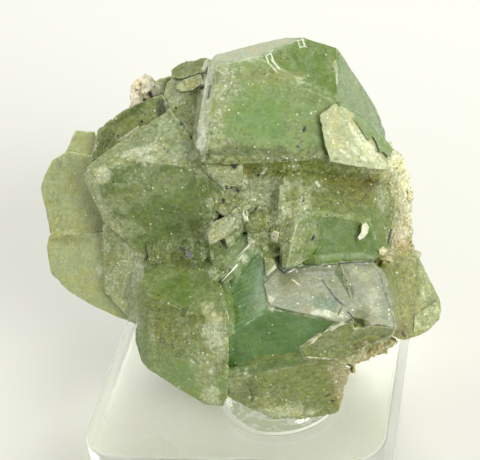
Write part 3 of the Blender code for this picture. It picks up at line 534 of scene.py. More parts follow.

# %% [markdown]
# ## Zones, strokes and specks
# Colour zones cross the faces: the green heart of the top crystal, the brown hem under it, the white fan
# of cracks at the left. Each is an egg-shaped space inside the stone with a ragged border. Strokes are
# crisper marks: a crack, a bright broken edge, a painted glint, a black grain. A stroke gets extra mesh
# points along it, so it stays sharp.

# %% Colour zones: (middle), (half width, half height), turn in degrees, finish, strength
ZONES = [
    # the top crystal
    ((2.8, 11.0), (6.0, 4.0), 10, "mint", 0.80),
    ((2.0, 11.0), (3.8, 2.6), 12, "mint_bright", 0.75),
    ((5.4, 9.6), (3.0, 1.8), 0, "mint_bright", 0.45),
    ((6.6, 9.4), (2.2, 2.6), 0, "olive_green", 0.35),
    ((-1.3, 14.6), (1.7, 2.2), -15, "flecked", 0.85),
    ((2.6, 15.4), (3.8, 0.9), 4, "yellow_olive", 0.60),
    ((6.4, 13.6), (2.8, 0.9), -24, "olive", 0.45),
    ((-2.4, 10.0), (1.1, 3.2), -8, "flecked", 0.85),
    ((-3.9, 9.2), (0.6, 1.8), -8, "white", 0.60),
    ((-3.5, 15.0), (0.45, 2.6), -6, "white", 0.70),
    ((-1.0, 8.3), (2.0, 1.0), -12, "olive_grey", 0.80),
    ((0.4, 9.7), (2.8, 0.4), -38, "olive_green", 0.55),
    ((5.4, 10.0), (0.5, 2.0), 30, "olive_grey", 0.40),
    ((2.2, 7.3), (7.8, 1.1), -1, "olive", 0.95),
    ((2.0, 7.5), (7.4, 0.9), 0, "dark_olive", 0.75),
    ((7.2, 7.6), (1.8, 0.9), 0, "olive", 0.80),
    ((6.8, 17.0), (2.2, 1.4), -20, "olive_bright", 0.90),
    ((4.6, 17.2), (1.0, 1.0), -40, "olive", 0.50),
    ((9.3, 16.6), (0.5, 1.8), 6, "olive_grey", 0.60),
    ((11.2, 14.8), (0.8, 1.6), 40, "mint_pale", 0.45),
    ((13.6, 9.8), (0.8, 1.4), 40, "pale_grey", 0.50),
    # the left crystal
    ((-6.0, 1.4), (3.4, 1.8), -14, "deep", 0.80),
    ((-10.0, 4.0), (2.8, 1.6), 0, "grey_green", 0.60),
    ((-8.6, 5.2), (4.4, 1.1), 0, "grey_green", 0.70),
    ((-7.0, 3.8), (2.2, 0.8), -10, "mint", 0.45),
    ((-4.6, 0.6), (2.4, 1.0), -24, "dark_olive", 0.60),
    ((-5.8, -0.2), (2.2, 1.0), -12, "dark_olive", 0.60),
    # painted shade in a recess
    ((-5.2, -1.6), (1.8, 0.7), -12, "recess_shade", 0.90),
    ((-8.0, -0.8), (1.8, 1.0), -12, "olive_green", 0.60),
    ((-13.6, 4.0), (0.6, 1.6), 24, "deep", 0.70),
    ((-12.2, 2.4), (1.3, 1.5), 24, "flecked", 0.55),
    ((-12.0, 1.2), (0.7, 1.6), 34, "dark_olive", 0.50),
    ((-14.0, 5.4), (1.2, 0.9), 20, "white", 0.60),
    ((-9.8, 7.9), (2.6, 0.5), 14, "white", 0.60),
    ((-12.2, 6.8), (1.6, 0.5), 14, "flecked", 0.75),
    ((-9.6, 7.2), (2.0, 0.5), -6, "frost", 0.80),
    ((-7.6, 6.8), (1.4, 0.4), 0, "flecked", 0.70),
    ((-11.4, 0.2), (1.8, 1.0), 0, "pale_grey", 0.60),
    ((-15.1, 5.4), (0.7, 0.7), 0, "frost", 0.70),
    ((-5.4, 10.0), (1.4, 1.0), 0, "grey_green", 0.60),
    ((-6.4, 8.6), (2.4, 1.2), 0, "deep", 0.35),
    # above it
    # painted shade in a recess
    ((-7.8, 12.2), (0.8, 1.1), 0, "recess_shade", 0.70),
    ((-11.0, 11.8), (3.2, 0.35), 35, "dark_olive", 0.80),
    ((-13.4, 8.8), (0.6, 1.6), -20, "dark_olive", 0.70),
    ((-10.4, 10.6), (1.2, 0.8), 20, "olive", 0.60),
    ((-6.6, 13.2), (0.8, 0.8), 0, "pale_grey", 0.60),
    ((-4.6, 13.7), (0.9, 0.5), 0, "dark_olive", 0.75),
    ((-5.0, 15.0), (1.5, 0.35), 18, "cream", 0.85),
    ((-5.2, 11.4), (0.8, 1.4), 0, "grey_green", 0.50),
    # the pale crystals at the left
    ((-17.2, -0.9), (2.0, 0.6), 3, "yellow_olive", 0.60),
    ((-18.6, 2.5), (0.8, 3.4), 6, "pale_olive", 0.50),
    ((-17.6, 6.6), (0.9, 0.8), 0, "pale_grey", 0.60),
    ((-15.0, 5.0), (0.8, 2.0), 10, "grey_green", 0.45),
    ((-14.0, -3.9), (0.3, 0.9), 0, "white", 0.75),
    ((-12.6, -0.8), (1.2, 1.0), 0, "olive_grey", 0.60),
    ((-12.8, -3.0), (1.4, 1.6), 0, "olive_grey", 0.50),
    ((-10.9, -5.6), (0.8, 1.4), 0, "flecked", 0.70),
    ((-12.2, -7.4), (1.8, 0.9), -35, "pale_green", 0.60),
    # the lower left crystal
    ((-6.0, -5.8), (2.4, 1.6), 0, "olive_bright", 0.85),
    ((-8.8, -3.6), (1.2, 0.9), 0, "dark_olive", 0.60),
    ((-5.6, -3.0), (2.6, 0.9), -10, "dark_olive", 0.95),
    # painted shade in a recess
    ((-5.4, -2.5), (1.2, 0.4), -10, "recess_shade", 0.80),
    ((-3.4, -3.6), (1.6, 0.8), -30, "olive", 0.70),
    ((-4.6, -8.6), (1.6, 0.8), -20, "dark_olive", 0.50),
    ((-7.6, -8.0), (1.6, 1.4), 0, "olive", 0.45),
    ((-2.6, -10.6), (1.2, 3.2), 4, "frost", 0.75),
    ((-2.5, -10.6), (1.0, 1.2), 0, "white", 0.35),
    ((-3.4, -14.6), (1.4, 2.0), 10, "pale_olive", 0.60),
    ((-8.6, -11.4), (0.3, 3.4), 6, "pale_grey", 0.50),
    ((-2.8, -12.6), (0.8, 1.6), 0, "flecked", 0.50),
    ((-2.9, -16.6), (1.1, 1.2), 0, "frost", 0.85),
    ((-7.6, -12.8), (2.2, 1.1), -20, "mint", 0.75),
    ((-5.6, -14.2), (0.8, 1.2), 20, "mint_bright", 0.70),
    ((-4.4, -12.2), (1.0, 0.9), 0, "flecked", 0.50),
    ((-9.9, -10.8), (0.4, 2.4), 4, "grey_green", 0.60),
    ((-1.4, -7.0), (0.4, 2.4), 0, "grey_green", 0.50),
    # the centre
    ((1.0, 6.1), (4.2, 0.8), 0, "olive", 0.90),
    ((5.5, 5.8), (2.6, 0.9), 0, "olive", 0.85),
    ((0.6, 5.8), (0.6, 0.8), 0, "rust", 0.70),
    ((2.4, 5.6), (0.5, 0.3), 0, "dark_olive", 0.80),
    ((2.6, 1.8), (1.4, 0.8), 0, "olive_grey", 0.60),
    ((2.0, 0.0), (1.6, 0.4), 10, "dark_olive", 0.85),
    ((3.9, 4.2), (1.4, 0.8), 20, "frost", 0.70),
    ((-1.0, 3.6), (1.4, 0.7), 0, "olive", 0.50),
    ((0.4, 2.4), (1.4, 0.8), 0, "flecked", 0.60),
    ((4.7, 2.2), (0.8, 1.2), 0, "olive_grey", 0.60),
    ((5.8, -1.0), (0.8, 0.9), 0, "flecked", 0.60),
    ((4.3, -3.0), (0.8, 0.8), 0, "olive", 0.60),
    ((2.4, -1.6), (1.0, 1.2), 0, "olive_green", 0.60),
    # the right crystal
    ((11.6, 4.4), (3.4, 1.8), 0, "rust", 0.40),
    ((13.2, 4.8), (1.0, 0.9), 0, "brown", 0.50),
    ((9.8, 6.0), (2.6, 0.5), -4, "olive_bright", 0.85),
    ((8.0, 4.4), (1.0, 0.8), 0, "flecked", 0.50),
    ((6.4, 3.2), (0.9, 2.0), 10, "flecked", 0.75),
    ((10.2, 1.6), (3.6, 0.9), 2, "olive", 0.60),
    ((11.4, 0.8), (4.8, 1.6), 2, "deep_green", 0.60),
    ((11.2, -1.6), (5.2, 1.9), 2, "deep_green", 0.90),
    ((14.2, 3.2), (0.8, 1.6), 0, "pale_grey", 0.60),
    ((14.6, 0.6), (0.6, 1.4), -20, "olive", 0.60),
    # the ledge crystal; its blue patch is a painted sheen
    ((8.4, -7.0), (1.3, 1.5), -20, "blue_sheen", 0.90),
    ((9.4, -5.2), (0.6, 0.5), 0, "olive", 0.60),
    ((8.4, -8.4), (1.5, 0.3), -6, "white", 0.70),
    ((13.6, -7.0), (0.5, 1.9), 14, "white", 0.30),
    ((12.2, -4.4), (1.2, 0.5), -30, "frost", 0.60),
    ((6.6, -6.4), (1.2, 1.2), 0, "pale_grey", 0.30),
    ((3.1, -7.4), (0.4, 0.7), 30, "white", 0.80),
    ((12.2, -8.8), (0.6, 0.8), 0, "dark_olive", 0.80),
    ((0.0, -3.4), (1.0, 0.8), 40, "teal_grey", 0.80),
    ((1.8, -5.2), (1.0, 1.6), -30, "teal", 0.60),
    ((-0.6, -8.4), (0.9, 1.4), 0, "olive_green", 0.50),
    ((1.0, -11.4), (1.6, 1.6), 20, "mint_bright", 0.40),
    ((6.2, -9.9), (1.8, 0.8), -10, "teal", 0.30),
    ((-1.0, -2.6), (1.6, 1.2), 48, "teal_grey", 0.80),
    ((0.2, -3.8), (1.0, 0.8), 48, "teal_grey", 0.80),
    ((4.2, -12.7), (3.6, 0.5), 8, "olive", 0.80),
    ((8.8, -11.2), (1.4, 0.7), 25, "grey_green", 0.70),
    ((12.4, -11.4), (1.8, 0.7), 25, "rust", 0.75),
    # the wing and the foot
    ((15.4, -5.4), (0.9, 3.0), -10, "olive", 0.75),
    ((15.8, -9.8), (1.4, 0.8), 20, "rust", 0.75),
    ((18.6, -6.0), (0.5, 2.2), -25, "pale_green", 0.60),
    ((1.6, -15.4), (1.2, 1.4), 20, "olive", 0.70),
    ((5.0, -15.0), (2.6, 1.0), 10, "olive_green", 0.50),
    ((7.0, -13.8), (2.0, 0.6), -10, "olive", 0.50),
    ((4.6, -18.2), (3.6, 0.9), 0, "frost", 0.90),
    ((-0.9, -15.2), (0.7, 1.6), 20, "frost", 0.60),
    ((0.9, -15.8), (0.9, 1.4), 10, "dark_olive", 0.45),
    ((9.2, -16.4), (0.8, 1.8), -12, "rust", 0.40),
    ((0.0, -14.6), (0.9, 1.6), 0, "grey_green", 0.60),
    ((2.6, -17.2), (1.4, 0.5), -20, "pale_olive", 0.70),
]

# %% Strokes: (start), (end), half width in mm, finish
STROKES = [
    # cracks and dark joints; the near-black olive lines along the ledge's back edge are painted shade
    ((8.2, -5.0), (9.6, -6.9), 0.07, "black"),
    ((9.6, -6.9), (10.3, -7.5), 0.12, "black"),
    ((10.3, -7.5), (9.8, -8.5), 0.07, "dark_olive"),
    ((10.8, -8.2), (11.7, -9.2), 0.10, "black"),
    ((15.1, 0.0), (14.8, -1.3), 0.12, "black"),
    ((-2.4, 1.9), (-1.9, 1.5), 0.10, "black"),
    ((7.4, -0.6), (7.2, -1.0), 0.12, "black"),
    ((3.7, -1.6), (3.9, -3.9), 0.06, "recess_shade"),
    ((3.9, -3.9), (4.4, -4.3), 0.06, "recess_shade"),
    ((4.4, -4.3), (5.7, -3.7), 0.06, "recess_shade"),
    ((6.0, -3.8), (9.6, -3.4), 0.05, "recess_shade"),
    ((9.6, -3.4), (13.2, -3.2), 0.05, "recess_shade"),
    # bright broken edges; the small white outlines on the olive face and the strip down the top crystal's
    # left bevel are painted highlights
    ((2.6, 17.4), (3.1, 17.7), 0.07, "white"),
    ((3.1, 17.7), (3.3, 17.0), 0.07, "white"),
    ((2.6, 17.4), (2.9, 16.7), 0.07, "white"),
    ((3.2, 17.0), (3.9, 16.2), 0.09, "white"),
    ((2.9, 16.7), (3.6, 15.9), 0.07, "white"),
    ((5.8, 19.0), (6.3, 19.1), 0.06, "white"),
    ((6.3, 19.1), (6.5, 18.4), 0.08, "white"),
    ((5.8, 19.0), (6.0, 18.3), 0.06, "white"),
    ((-3.2, 17.0), (-3.6, 13.6), 0.14, "white"),
    ((6.0, 18.3), (6.5, 18.4), 0.06, "white"),
    ((9.6, 17.9), (9.75, 13.7), 0.11, "frost"),
    ((3.9, 15.3), (6.6, 14.1), 0.05, "mint_pale"),
    ((6.6, 14.1), (9.2, 13.0), 0.06, "mint_pale"),
    ((-2.0, -5.2), (-0.3, -3.4), 0.08, "white"),
    ((-0.3, -2.7), (0.9, -1.4), 0.07, "white"),
    ((-12.1, 9.0), (-10.2, 10.3), 0.10, "cream"),
    ((-3.4, 17.2), (-3.7, 13.6), 0.22, "white"),
    ((6.6, -12.7), (9.5, -12.9), 0.05, "cream"),
    ((6.9, -11.0), (8.0, -10.4), 0.12, "cream"),
    ((9.2, -9.9), (10.2, -9.3), 0.16, "white"),
    ((5.3, -5.0), (5.8, -5.4), 0.08, "white"),
    ((2.7, 6.2), (2.3, 5.7), 0.12, "cream"),
    ((-3.0, 14.4), (-3.2, 13.2), 0.12, "dark_olive"),
    # black grains
    ((-1.35, 4.3), (-1.35, 4.3), 0.14, "black"),
    ((-0.8, 4.25), (-0.8, 4.25), 0.14, "black"),
    ((-0.2, 4.0), (-0.15, 3.9), 0.16, "black"),
    ((-1.7, 3.0), (-1.6, 3.0), 0.12, "black"),
    ((-0.8, 6.5), (-0.5, 6.2), 0.16, "black"),
    ((1.5, 6.1), (1.5, 6.1), 0.13, "black"),
    ((1.8, 5.5), (1.8, 5.5), 0.15, "black"),
    ((1.5, 1.9), (1.6, 2.2), 0.10, "black"),
    ((-0.4, 0.0), (-0.4, 0.0), 0.10, "black"),
    ((3.4, -0.7), (3.4, -0.7), 0.08, "black"),
    ((3.8, -0.4), (3.85, -0.35), 0.12, "black"),
    ((0.1, -3.1), (0.1, -3.1), 0.10, "black"),
    ((-2.0, -5.1), (-1.8, -5.3), 0.10, "black"),
    ((-1.4, -6.2), (-1.3, -6.4), 0.10, "black"),
    ((6.3, 2.9), (6.4, 3.0), 0.10, "black"),
    ((-5.9, 10.6), (-5.6, 10.3), 0.14, "black"),
    ((-6.4, 12.2), (-6.4, 12.2), 0.12, "black"),
    ((-9.9, 10.9), (-9.8, 10.8), 0.14, "black"),
    ((-12.2, 9.4), (-12.2, 9.4), 0.12, "black"),
    ((-3.9, 14.2), (-3.7, 14.3), 0.18, "black"),
    ((-9.1, 6.6), (-9.2, 6.5), 0.14, "black"),
    ((-0.3, 8.2), (-0.3, 8.2), 0.10, "black"),
    ((5.75, 8.35), (5.8, 8.35), 0.16, "black"),
    ((6.35, 9.9), (6.5, 10.3), 0.14, "black"),
    ((-5.2, -2.2), (-4.9, -2.5), 0.30, "black"),
    ((-5.6, -1.8), (-5.6, -1.8), 0.16, "black"),
    # thin lines of painted shade in the foot's creases
    ((1.0, -15.9), (1.2, -16.6), 0.06, "recess_shade"),
    ((1.3, -16.8), (1.2, -17.1), 0.07, "recess_shade"),
    ((8.6, -16.6), (9.0, -16.5), 0.10, "brown"),
    ((9.2, -17.1), (9.3, -17.1), 0.10, "black"),
    ((14.6, -11.0), (14.8, -11.1), 0.12, "black"),
    ((16.2, -10.3), (16.5, -10.6), 0.16, "brown"),
]
print(len(ZONES), "zones,", len(STROKES), "strokes")


# %% Placing the strokes on the stone
STROKE_STEP = 0.12
BORDER_SIDES = (-1.25, -0.75, 0.75, 1.25)
DOT_TURNS = 8


def stroke_points(find, start, end, half_width):
    """(places along the middle of a stroke, more places along its borders), each as (place, flat face)."""
    start, end = Vector(start), Vector(end)
    along = end - start
    if not along.length:
        rings = []
        for turn in range(DOT_TURNS):
            angle = math.tau * turn / DOT_TURNS
            ring = Vector((math.cos(angle), math.sin(angle))) * half_width
            rings += [find(start + ring * reach) for reach in BORDER_SIDES[2:]]
        return [find(start)], rings
    across = Vector((-along.y, along.x)).normalized() * half_width
    steps = max(1, round(along.length / STROKE_STEP))
    middles = [start + along * step / steps for step in range(steps + 1)]
    borders = [find(middle + across * side) for middle in middles for side in BORDER_SIDES]
    return [find(middle) for middle in middles], borders


def stroke_marks(find, strokes):
    """The mesh points that the strokes ask for, as {flat face: [place, ...]}."""
    extra = {}
    for start, end, half_width, _ in strokes:
        middles, borders = stroke_points(find, start, end, half_width)
        for place, face in middles + borders:
            if place is not None:
                extra.setdefault(face, []).append(place)
    return extra


# %% Painting
PAINT_BLENDS = 9
BLEND_KEPT = 0.4
STROKE_DEPTH = 1.2
ZONE_FULL = 0.55
ZONE_END = 1.15
ZONE_DEEP = 1.2
ZONE_RAGGED = 0.50
SHEEN_VEIL = 0.040
LIGHT_GAIN = 0.95
CHANNEL_COUNT = 3 + len(CHANNELS)


def under_sheen(colour):
    """The stone's own colour for a colour as seen, which has a thin white sheen over it."""
    return tuple(max(0.0, (c - SHEEN_VEIL) / LIGHT_GAIN) for c in srgb(*colour))


def face_paint(find, faces, owners, places, corners):
    """{flat face: its row of finish values}; a face with no name takes the nearest named one's."""
    table = {name: np.array([*under_sheen(row[0]), *row[1:]]) for name, row in FINISHES.items()}
    named, anchors = {}, []
    for spot, finish in faces.items():
        place, face = find(spot)
        if face is None:
            print("no face at", spot)
            continue
        named.setdefault(face, table[finish])
        anchors.append((place, table[finish]))
    nearest = kdtree.KDTree(len(anchors))
    for number, (place, _) in enumerate(anchors):
        nearest.insert(place, number)
    nearest.balance()
    for owner in np.unique(owners).tolist():
        if owner not in named:
            centre = places[corners[owners == owner]].mean(axis=(0, 1))
            named[owner] = anchors[nearest.find(centre)[1]][1]
    return table, named


def zone_share(places, centre, half, turn, wobble):
    """Per point: how far it is inside an egg-shaped zone with a ragged border, 0 to 1."""
    turn = math.radians(turn)
    offset = (places - np.array(centre)) / MM
    right, up, out = offset @ np.array(RIGHT), offset @ np.array(UP), offset @ np.array(OUT)
    along = (right * math.cos(turn) + up * math.sin(turn)) / half[0]
    across = (up * math.cos(turn) - right * math.sin(turn)) / half[1]
    deep = out / (ZONE_DEEP * max(half))
    reach = np.sqrt(along ** 2 + across ** 2 + deep ** 2) + wobble
    return 1.0 - ramp(reach, ZONE_FULL, ZONE_END)


def on_sheet(places):
    """(right, up) on the sheet in mm for each place, and its depth from the eye in mm."""
    offset = places - np.array(EYE)
    depth = np.linalg.norm(offset, axis=1)
    reach = (np.array(SHEET_CENTRE) - np.array(EYE)) @ np.array(OUT) / (offset @ np.array(OUT))
    flat = offset * reach[:, None] + np.array(EYE) - np.array(SHEET_CENTRE)
    return np.stack([flat @ np.array(RIGHT), flat @ np.array(UP)], axis=1) / MM, depth / MM


def paint_over(rows, places, find, table, zones, strokes, seed):
    """The rows with the zones and then the strokes laid over them."""
    wobble = ZONE_RAGGED * rough_field(places, 1.1, 5, seed)
    for spot, half, turn, finish, strength in zones:
        centre, _ = find(spot)
        if centre is None:
            print("no stone at", spot)
            continue
        share = strength * zone_share(places, centre, half, turn, wobble)[:, None]
        rows = rows * (1.0 - share) + table[finish] * share
    sheet, depth = on_sheet(places)
    for start, end, half_width, finish in strokes:
        place, _ = find(((start[0] + end[0]) / 2, (start[1] + end[1]) / 2))
        if place is None:
            continue
        near = np.flatnonzero(abs(depth - (place - EYE).length / MM) < STROKE_DEPTH)
        along = np.array(end) - np.array(start)
        offset = sheet[near] - np.array(start)
        reach = np.clip(offset @ along / max(along @ along, 1e-9), 0.0, 1.0)
        gap = np.linalg.norm(offset - reach[:, None] * along, axis=1)
        share = (1.0 - ramp(gap, 0.7 * half_width, 1.2 * half_width))[:, None]
        rows[near] = rows[near] * (1.0 - share) + table[finish] * share
    return rows


def paint(mesh, owners, find, faces, zones, strokes, places, seed):
    """Per point: the mix of finishes there, as a row of a colour and the five amounts."""
    corners = triangle_corners(mesh)
    table, named = face_paint(find, faces, owners, places, corners)
    pairs = np.unique(np.stack([corners.ravel(), np.repeat(owners, 3)], axis=1), axis=0)
    rows = np.zeros((len(places), CHANNEL_COUNT))
    np.add.at(rows, pairs[:, 0], np.array([named[owner] for owner in pairs[:, 1].tolist()]))
    rows /= np.bincount(pairs[:, 0], minlength=len(places)).clip(1)[:, None]
    neighbours = 2 * np.bincount(corners.ravel(), minlength=len(places)).clip(1)[:, None]
    for _ in range(PAINT_BLENDS):
        total = np.zeros_like(rows)
        for one, two in ((0, 1), (1, 2), (2, 0)):
            np.add.at(total, corners[:, one], rows[corners[:, two]])
            np.add.at(total, corners[:, two], rows[corners[:, one]])
        rows = BLEND_KEPT * rows + (1.0 - BLEND_KEPT) * total / neighbours
    return paint_over(rows, places, find, table, zones, strokes, seed)


def store_paint(mesh, rows):
    """Keep the mix on the mesh: the colour as tint, and each amount under its own name."""
    tint = mesh.attributes.new("tint", "FLOAT_COLOR", "POINT")
    tint.data.foreach_set("color", np.concatenate([rows[:, :3], np.ones((len(rows), 1))], axis=1).ravel())
    for column, name in enumerate(CHANNELS):
        mesh.attributes.new(name, "FLOAT", "POINT").data.foreach_set("value", rows[:, 3 + column].copy())


# %% [markdown]
# ## Growth lines
# A growing crystal leaves fine straight lines on some faces, all along one direction. The lines live in
# the face's own two axes, one along them and one across, kept on the mesh for the shader. Each entry is a
# spot on the face, the direction of the lines on the sheet in degrees and how strong they are.

# %% Growth lines by face
LINED_FACES = [
    ((-3.7, 11.0), 82, 0.9),
    ((-0.6, 12.0), 70, 0.25),
    ((7.2, 17.0), -35, 0.35),
    ((12.4, 12.6), -55, 0.3),
    ((1.0, 18.1), 8, 0.4),
    ((-11.4, 7.6), 38, 0.6),
    ((-6.6, 8.6), 60, 0.5),
    ((-8.0, 2.0), -12, 0.25),
    ((-16.8, 3.0), 78, 0.35),
    ((-16.4, -3.2), 80, 0.35),
    ((-12.2, -3.6), 75, 0.7),
    ((-2.5, 0.3), 45, 0.8),
    ((-1.4, -2.6), 48, 0.7),
    ((1.0, -6.5), 10, 0.9),
    ((5.5, -5.6), -38, 0.4),
    ((13.0, -6.5), 40, 0.4),
    ((5.0, -10.5), 30, 0.35),
    ((10.5, -10.8), 25, 0.7),
    ((16.5, -6.0), -78, 0.8),
    ((19.0, -5.6), -60, 0.8),
    ((5.0, -15.5), 38, 0.8),
    ((0.6, -16.0), -70, 0.8),
    ((-3.0, -12.0), 85, 0.5),
    ((-7.4, -10.0), 70, 0.5),
    ((4.4, -1.0), 80, 0.5),
    ((5.6, -1.8), 75, 0.5),
    ((9.5, 4.0), 20, 0.3),
    ((14.6, 2.0), 70, 0.5),
]


def store_lines(mesh, owners, normals, places, find, lined):
    """Keep (along, across, strength) in mm at each corner of the triangles."""
    corners = triangle_corners(mesh).ravel()
    corner_places = places[corners] / MM
    corner_owners = np.repeat(owners, 3)
    values = np.zeros((len(corners), 3))
    for spot, angle, strength in lined:
        _, face = find(spot)
        if face is None:
            print("no face at", spot)
            continue
        chosen = corner_owners == face
        run = RIGHT * math.cos(math.radians(angle)) + UP * math.sin(math.radians(angle))
        normal = Vector(normals[face])
        run = (run - normal * run.dot(normal)).normalized()
        values[chosen, 0] = corner_places[chosen] @ np.array(run)
        values[chosen, 1] = corner_places[chosen] @ np.array(normal.cross(run)) + face * 3.7
        values[chosen, 2] = strength
    lines = mesh.attributes.new("lines", "FLOAT_VECTOR", "CORNER")
    lines.data.foreach_set("vector", values.ravel())

# %% [markdown]
# ## The crystals
# The crystals have grown into one piece, so they are one mesh. After the fine fill, each point moves a
# little: outer edges are worn and have small shell-shaped chips, etched places are pitted, and growth
# left shallow steps on the smoother faces. All of it cuts inward, so the stone keeps its size.

# %% Carving wear and relief
CRYSTAL_FINE = 0.23 * MM
CRYSTAL_COARSE = 0.46 * MM
CHIP_START = 0.18
CHIP_DEPTH = 0.85
CHIP_SLOPE = 0.75
SMALL_CHIP = 0.30
EDGE_WEAR = 0.03
CLEFT_FILL = 0.20
CLEFT_REACH = 0.35
STEP_COUNT = 7
STEP_HEIGHT = 0.014


def carve(places, directions, ridge, cleft, rows):
    """The points moved by wear, chips, growth steps and etching, and how deep the chips are. In mm."""
    etch = rows[:, 4]
    gap, ridge_point = distance_to(places, ridge > 0.05)
    gap = gap / MM
    rough_edge = 0.5 + etch[ridge_point]
    chips = np.clip(rough_field(places, 0.75, 2, 3)[ridge_point] - CHIP_START, 0.0, None) * CHIP_DEPTH
    chips += np.clip(rough_field(places, 2.6, 2, 4)[ridge_point] - 0.05, 0.0, None) * SMALL_CHIP
    bite = np.clip(chips * rough_edge - CHIP_SLOPE * gap, 0.0, 0.6)
    wear = EDGE_WEAR * np.exp(-((gap / 0.10) ** 2))
    cleft_gap, _ = distance_to(places, cleft > 0.05)
    weld = CLEFT_FILL * np.exp(-((cleft_gap / MM / CLEFT_REACH) ** 2))
    swell = 0.020 * rough_field(places, 0.35, 2, 5)
    steps = np.abs(np.floor(rough_field(places, 0.28, 3, 6) * STEP_COUNT)) * STEP_HEIGHT
    pits = 0.095 * rough_field(places, 1.1, 3, 7) + 0.050 * rough_field(places, 2.7, 2, 8)
    depth = bite + wear - weld - swell + etch * (0.03 - pits) + (1.0 - etch) * steps
    return places - directions * (depth * MM)[:, None], bite


def set_places(mesh, places):
    mesh.vertices.foreach_set("co", places.astype(np.float32).ravel())
    mesh.polygons.foreach_set("use_smooth", [True] * len(mesh.polygons))
    mesh.update()


# %% Making the crystals
def make_crystals():
    shape = flat_faces(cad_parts["herderite_crystals"])
    find = spot_finder(shape)
    marks = stroke_marks(find, STROKES)
    mesh, owners, normals = fine_mesh("herderite_cluster", shape, CRYSTAL_FINE, CRYSTAL_COARSE, 1, marks)
    shape.free()
    places, directions, ridge, cleft = edge_measures(mesh, owners, normals)
    rows = paint(mesh, owners, find, FACE_FINISHES, ZONES, STROKES, places, 2)
    moved, bite = carve(places, directions, ridge, cleft, rows)
    # Chips and sharp ridges are painted pale; on the ridges this is partly wear and partly a painted
    # highlight along the edge.
    fresh = ramp(bite, 0.02, 0.20) * 0.6
    rim = np.clip(ridge / 0.3, 0.0, 1.0) * ramp(rough_field(places, 0.9, 3, 9), -0.25, 0.45) * 0.6
    share = np.maximum(fresh, rim)[:, None]
    bright = np.array([*srgb(0.84, 0.87, 0.72), 0.8, 0.3, 0.0, 0.6, 0.6])
    rows = rows * (1.0 - share) + bright * share
    store_lines(mesh, owners, normals, places, find, LINED_FACES)
    set_places(mesh, moved)
    store_paint(mesh, rows)
    return link(bpy.data.objects.new("herderite_cluster", mesh))


crystals = make_crystals()
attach(crystals, "root")
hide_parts("herderite_crystals")

# %% [markdown]
# ## The feldspar
# The feldspar is broken rock: blocky breaks, a sugary grain and cream to tan colour with rusty stain. The
# same fine fill is used, but the relief is much stronger and no face stays flat. Angular breaks come from
# a cell pattern: each cell of the stone lies at its own depth.

# %% Carving the broken rock
ROCK_FINE = 0.26 * MM
ROCK_COARSE = 0.50 * MM
ROCK_BREAKS = 0.16
ROCK_GRAIN = 0.10
ROCK_FACES = {
    (11.6, 10.4): "chip_pale",
    (13.2, 7.2): "chip_pale",
    (15.6, 6.6): "cream",
    (16.4, 3.0): "cream",
    (16.5, -0.6): "sand",
    (14.9, -2.6): "sand",
    (12.6, -12.6): "sand",
    (9.8, -15.4): "sand",
    (-10.0, 14.0): "pink_cream",
    (-8.0, 14.6): "pale_olive",
}
ROCK_ZONES = [
    ((-9.6, 14.8), (1.4, 0.8), 0, "pink_cream", 0.90),
    ((-8.8, 13.6), (0.7, 0.7), 0, "black", 0.75),
    ((-8.0, 14.2), (0.8, 0.8), 0, "pink_cream", 0.70),
    ((11.0, 8.4), (1.6, 1.2), -20, "chip_pale", 0.80),
    ((13.0, 8.0), (2.2, 1.0), -38, "white", 0.50),
    ((14.0, 6.4), (1.2, 0.6), -40, "white", 0.50),
    ((16.2, 1.6), (0.8, 0.9), 0, "sand", 0.50),
    ((16.6, 0.0), (0.9, 1.4), 0, "sand", 0.60),
    ((15.6, 5.4), (1.0, 1.6), 0, "cream", 0.80),
    ((16.2, -1.2), (1.0, 1.8), 0, "sand", 0.70),
    ((13.6, -11.6), (2.0, 0.5), 22, "rust", 0.60),
    ((11.4, -13.2), (1.6, 0.6), 30, "chip_pale", 0.60),
    ((16.4, -0.4), (0.6, 1.0), 0, "pink_cream", 0.60),
]
ROCK_STROKES = [
    # black grains and brown specks
    ((-10.0, 14.6), (-9.8, 14.5), 0.14, "black"),
    ((-9.1, 13.9), (-8.8, 13.3), 0.16, "black"),
    ((-9.6, 13.1), (-9.5, 13.0), 0.14, "black"),
    ((-8.6, 14.4), (-8.5, 14.3), 0.10, "black"),
    ((-10.4, 14.0), (-10.4, 14.0), 0.10, "brown"),
    ((15.6, 4.6), (15.8, 4.2), 0.12, "brown"),
    ((16.0, 2.6), (16.1, 2.2), 0.12, "brown"),
    ((15.4, 2.0), (15.5, 1.7), 0.12, "dark_olive"),
    ((15.9, 0.4), (16.0, 0.1), 0.10, "brown"),
    # bright splintery lines on the chip
    ((11.0, 10.4), (12.2, 8.6), 0.10, "white"),
    ((11.8, 10.0), (13.6, 7.4), 0.10, "white"),
    ((10.6, 8.8), (12.6, 6.9), 0.10, "white"),
    ((12.6, 8.9), (14.6, 6.6), 0.10, "white"),
    ((13.4, 9.0), (14.4, 7.4), 0.10, "white"),
    ((10.2, 8.0), (11.2, 7.2), 0.10, "white"),
    ((10.4, 11.6), (11.4, 9.4), 0.04, "cream"),
    ((8.6, 10.4), (9.6, 8.2), 0.04, "cream"),
]


def cell_depth(places, scale, seed):
    """Per point: a depth from 0 to 1 that is the same within one angular cell of the rock."""
    shift = Vector((seed * 3.3, seed * 7.1, seed * 1.9))
    depths = []
    for place in places.tolist():
        _, points = noise.voronoi(Vector(place) / MM * scale + shift)
        depths.append(noise.cell(points[0] * 7.3))
    return np.array(depths)


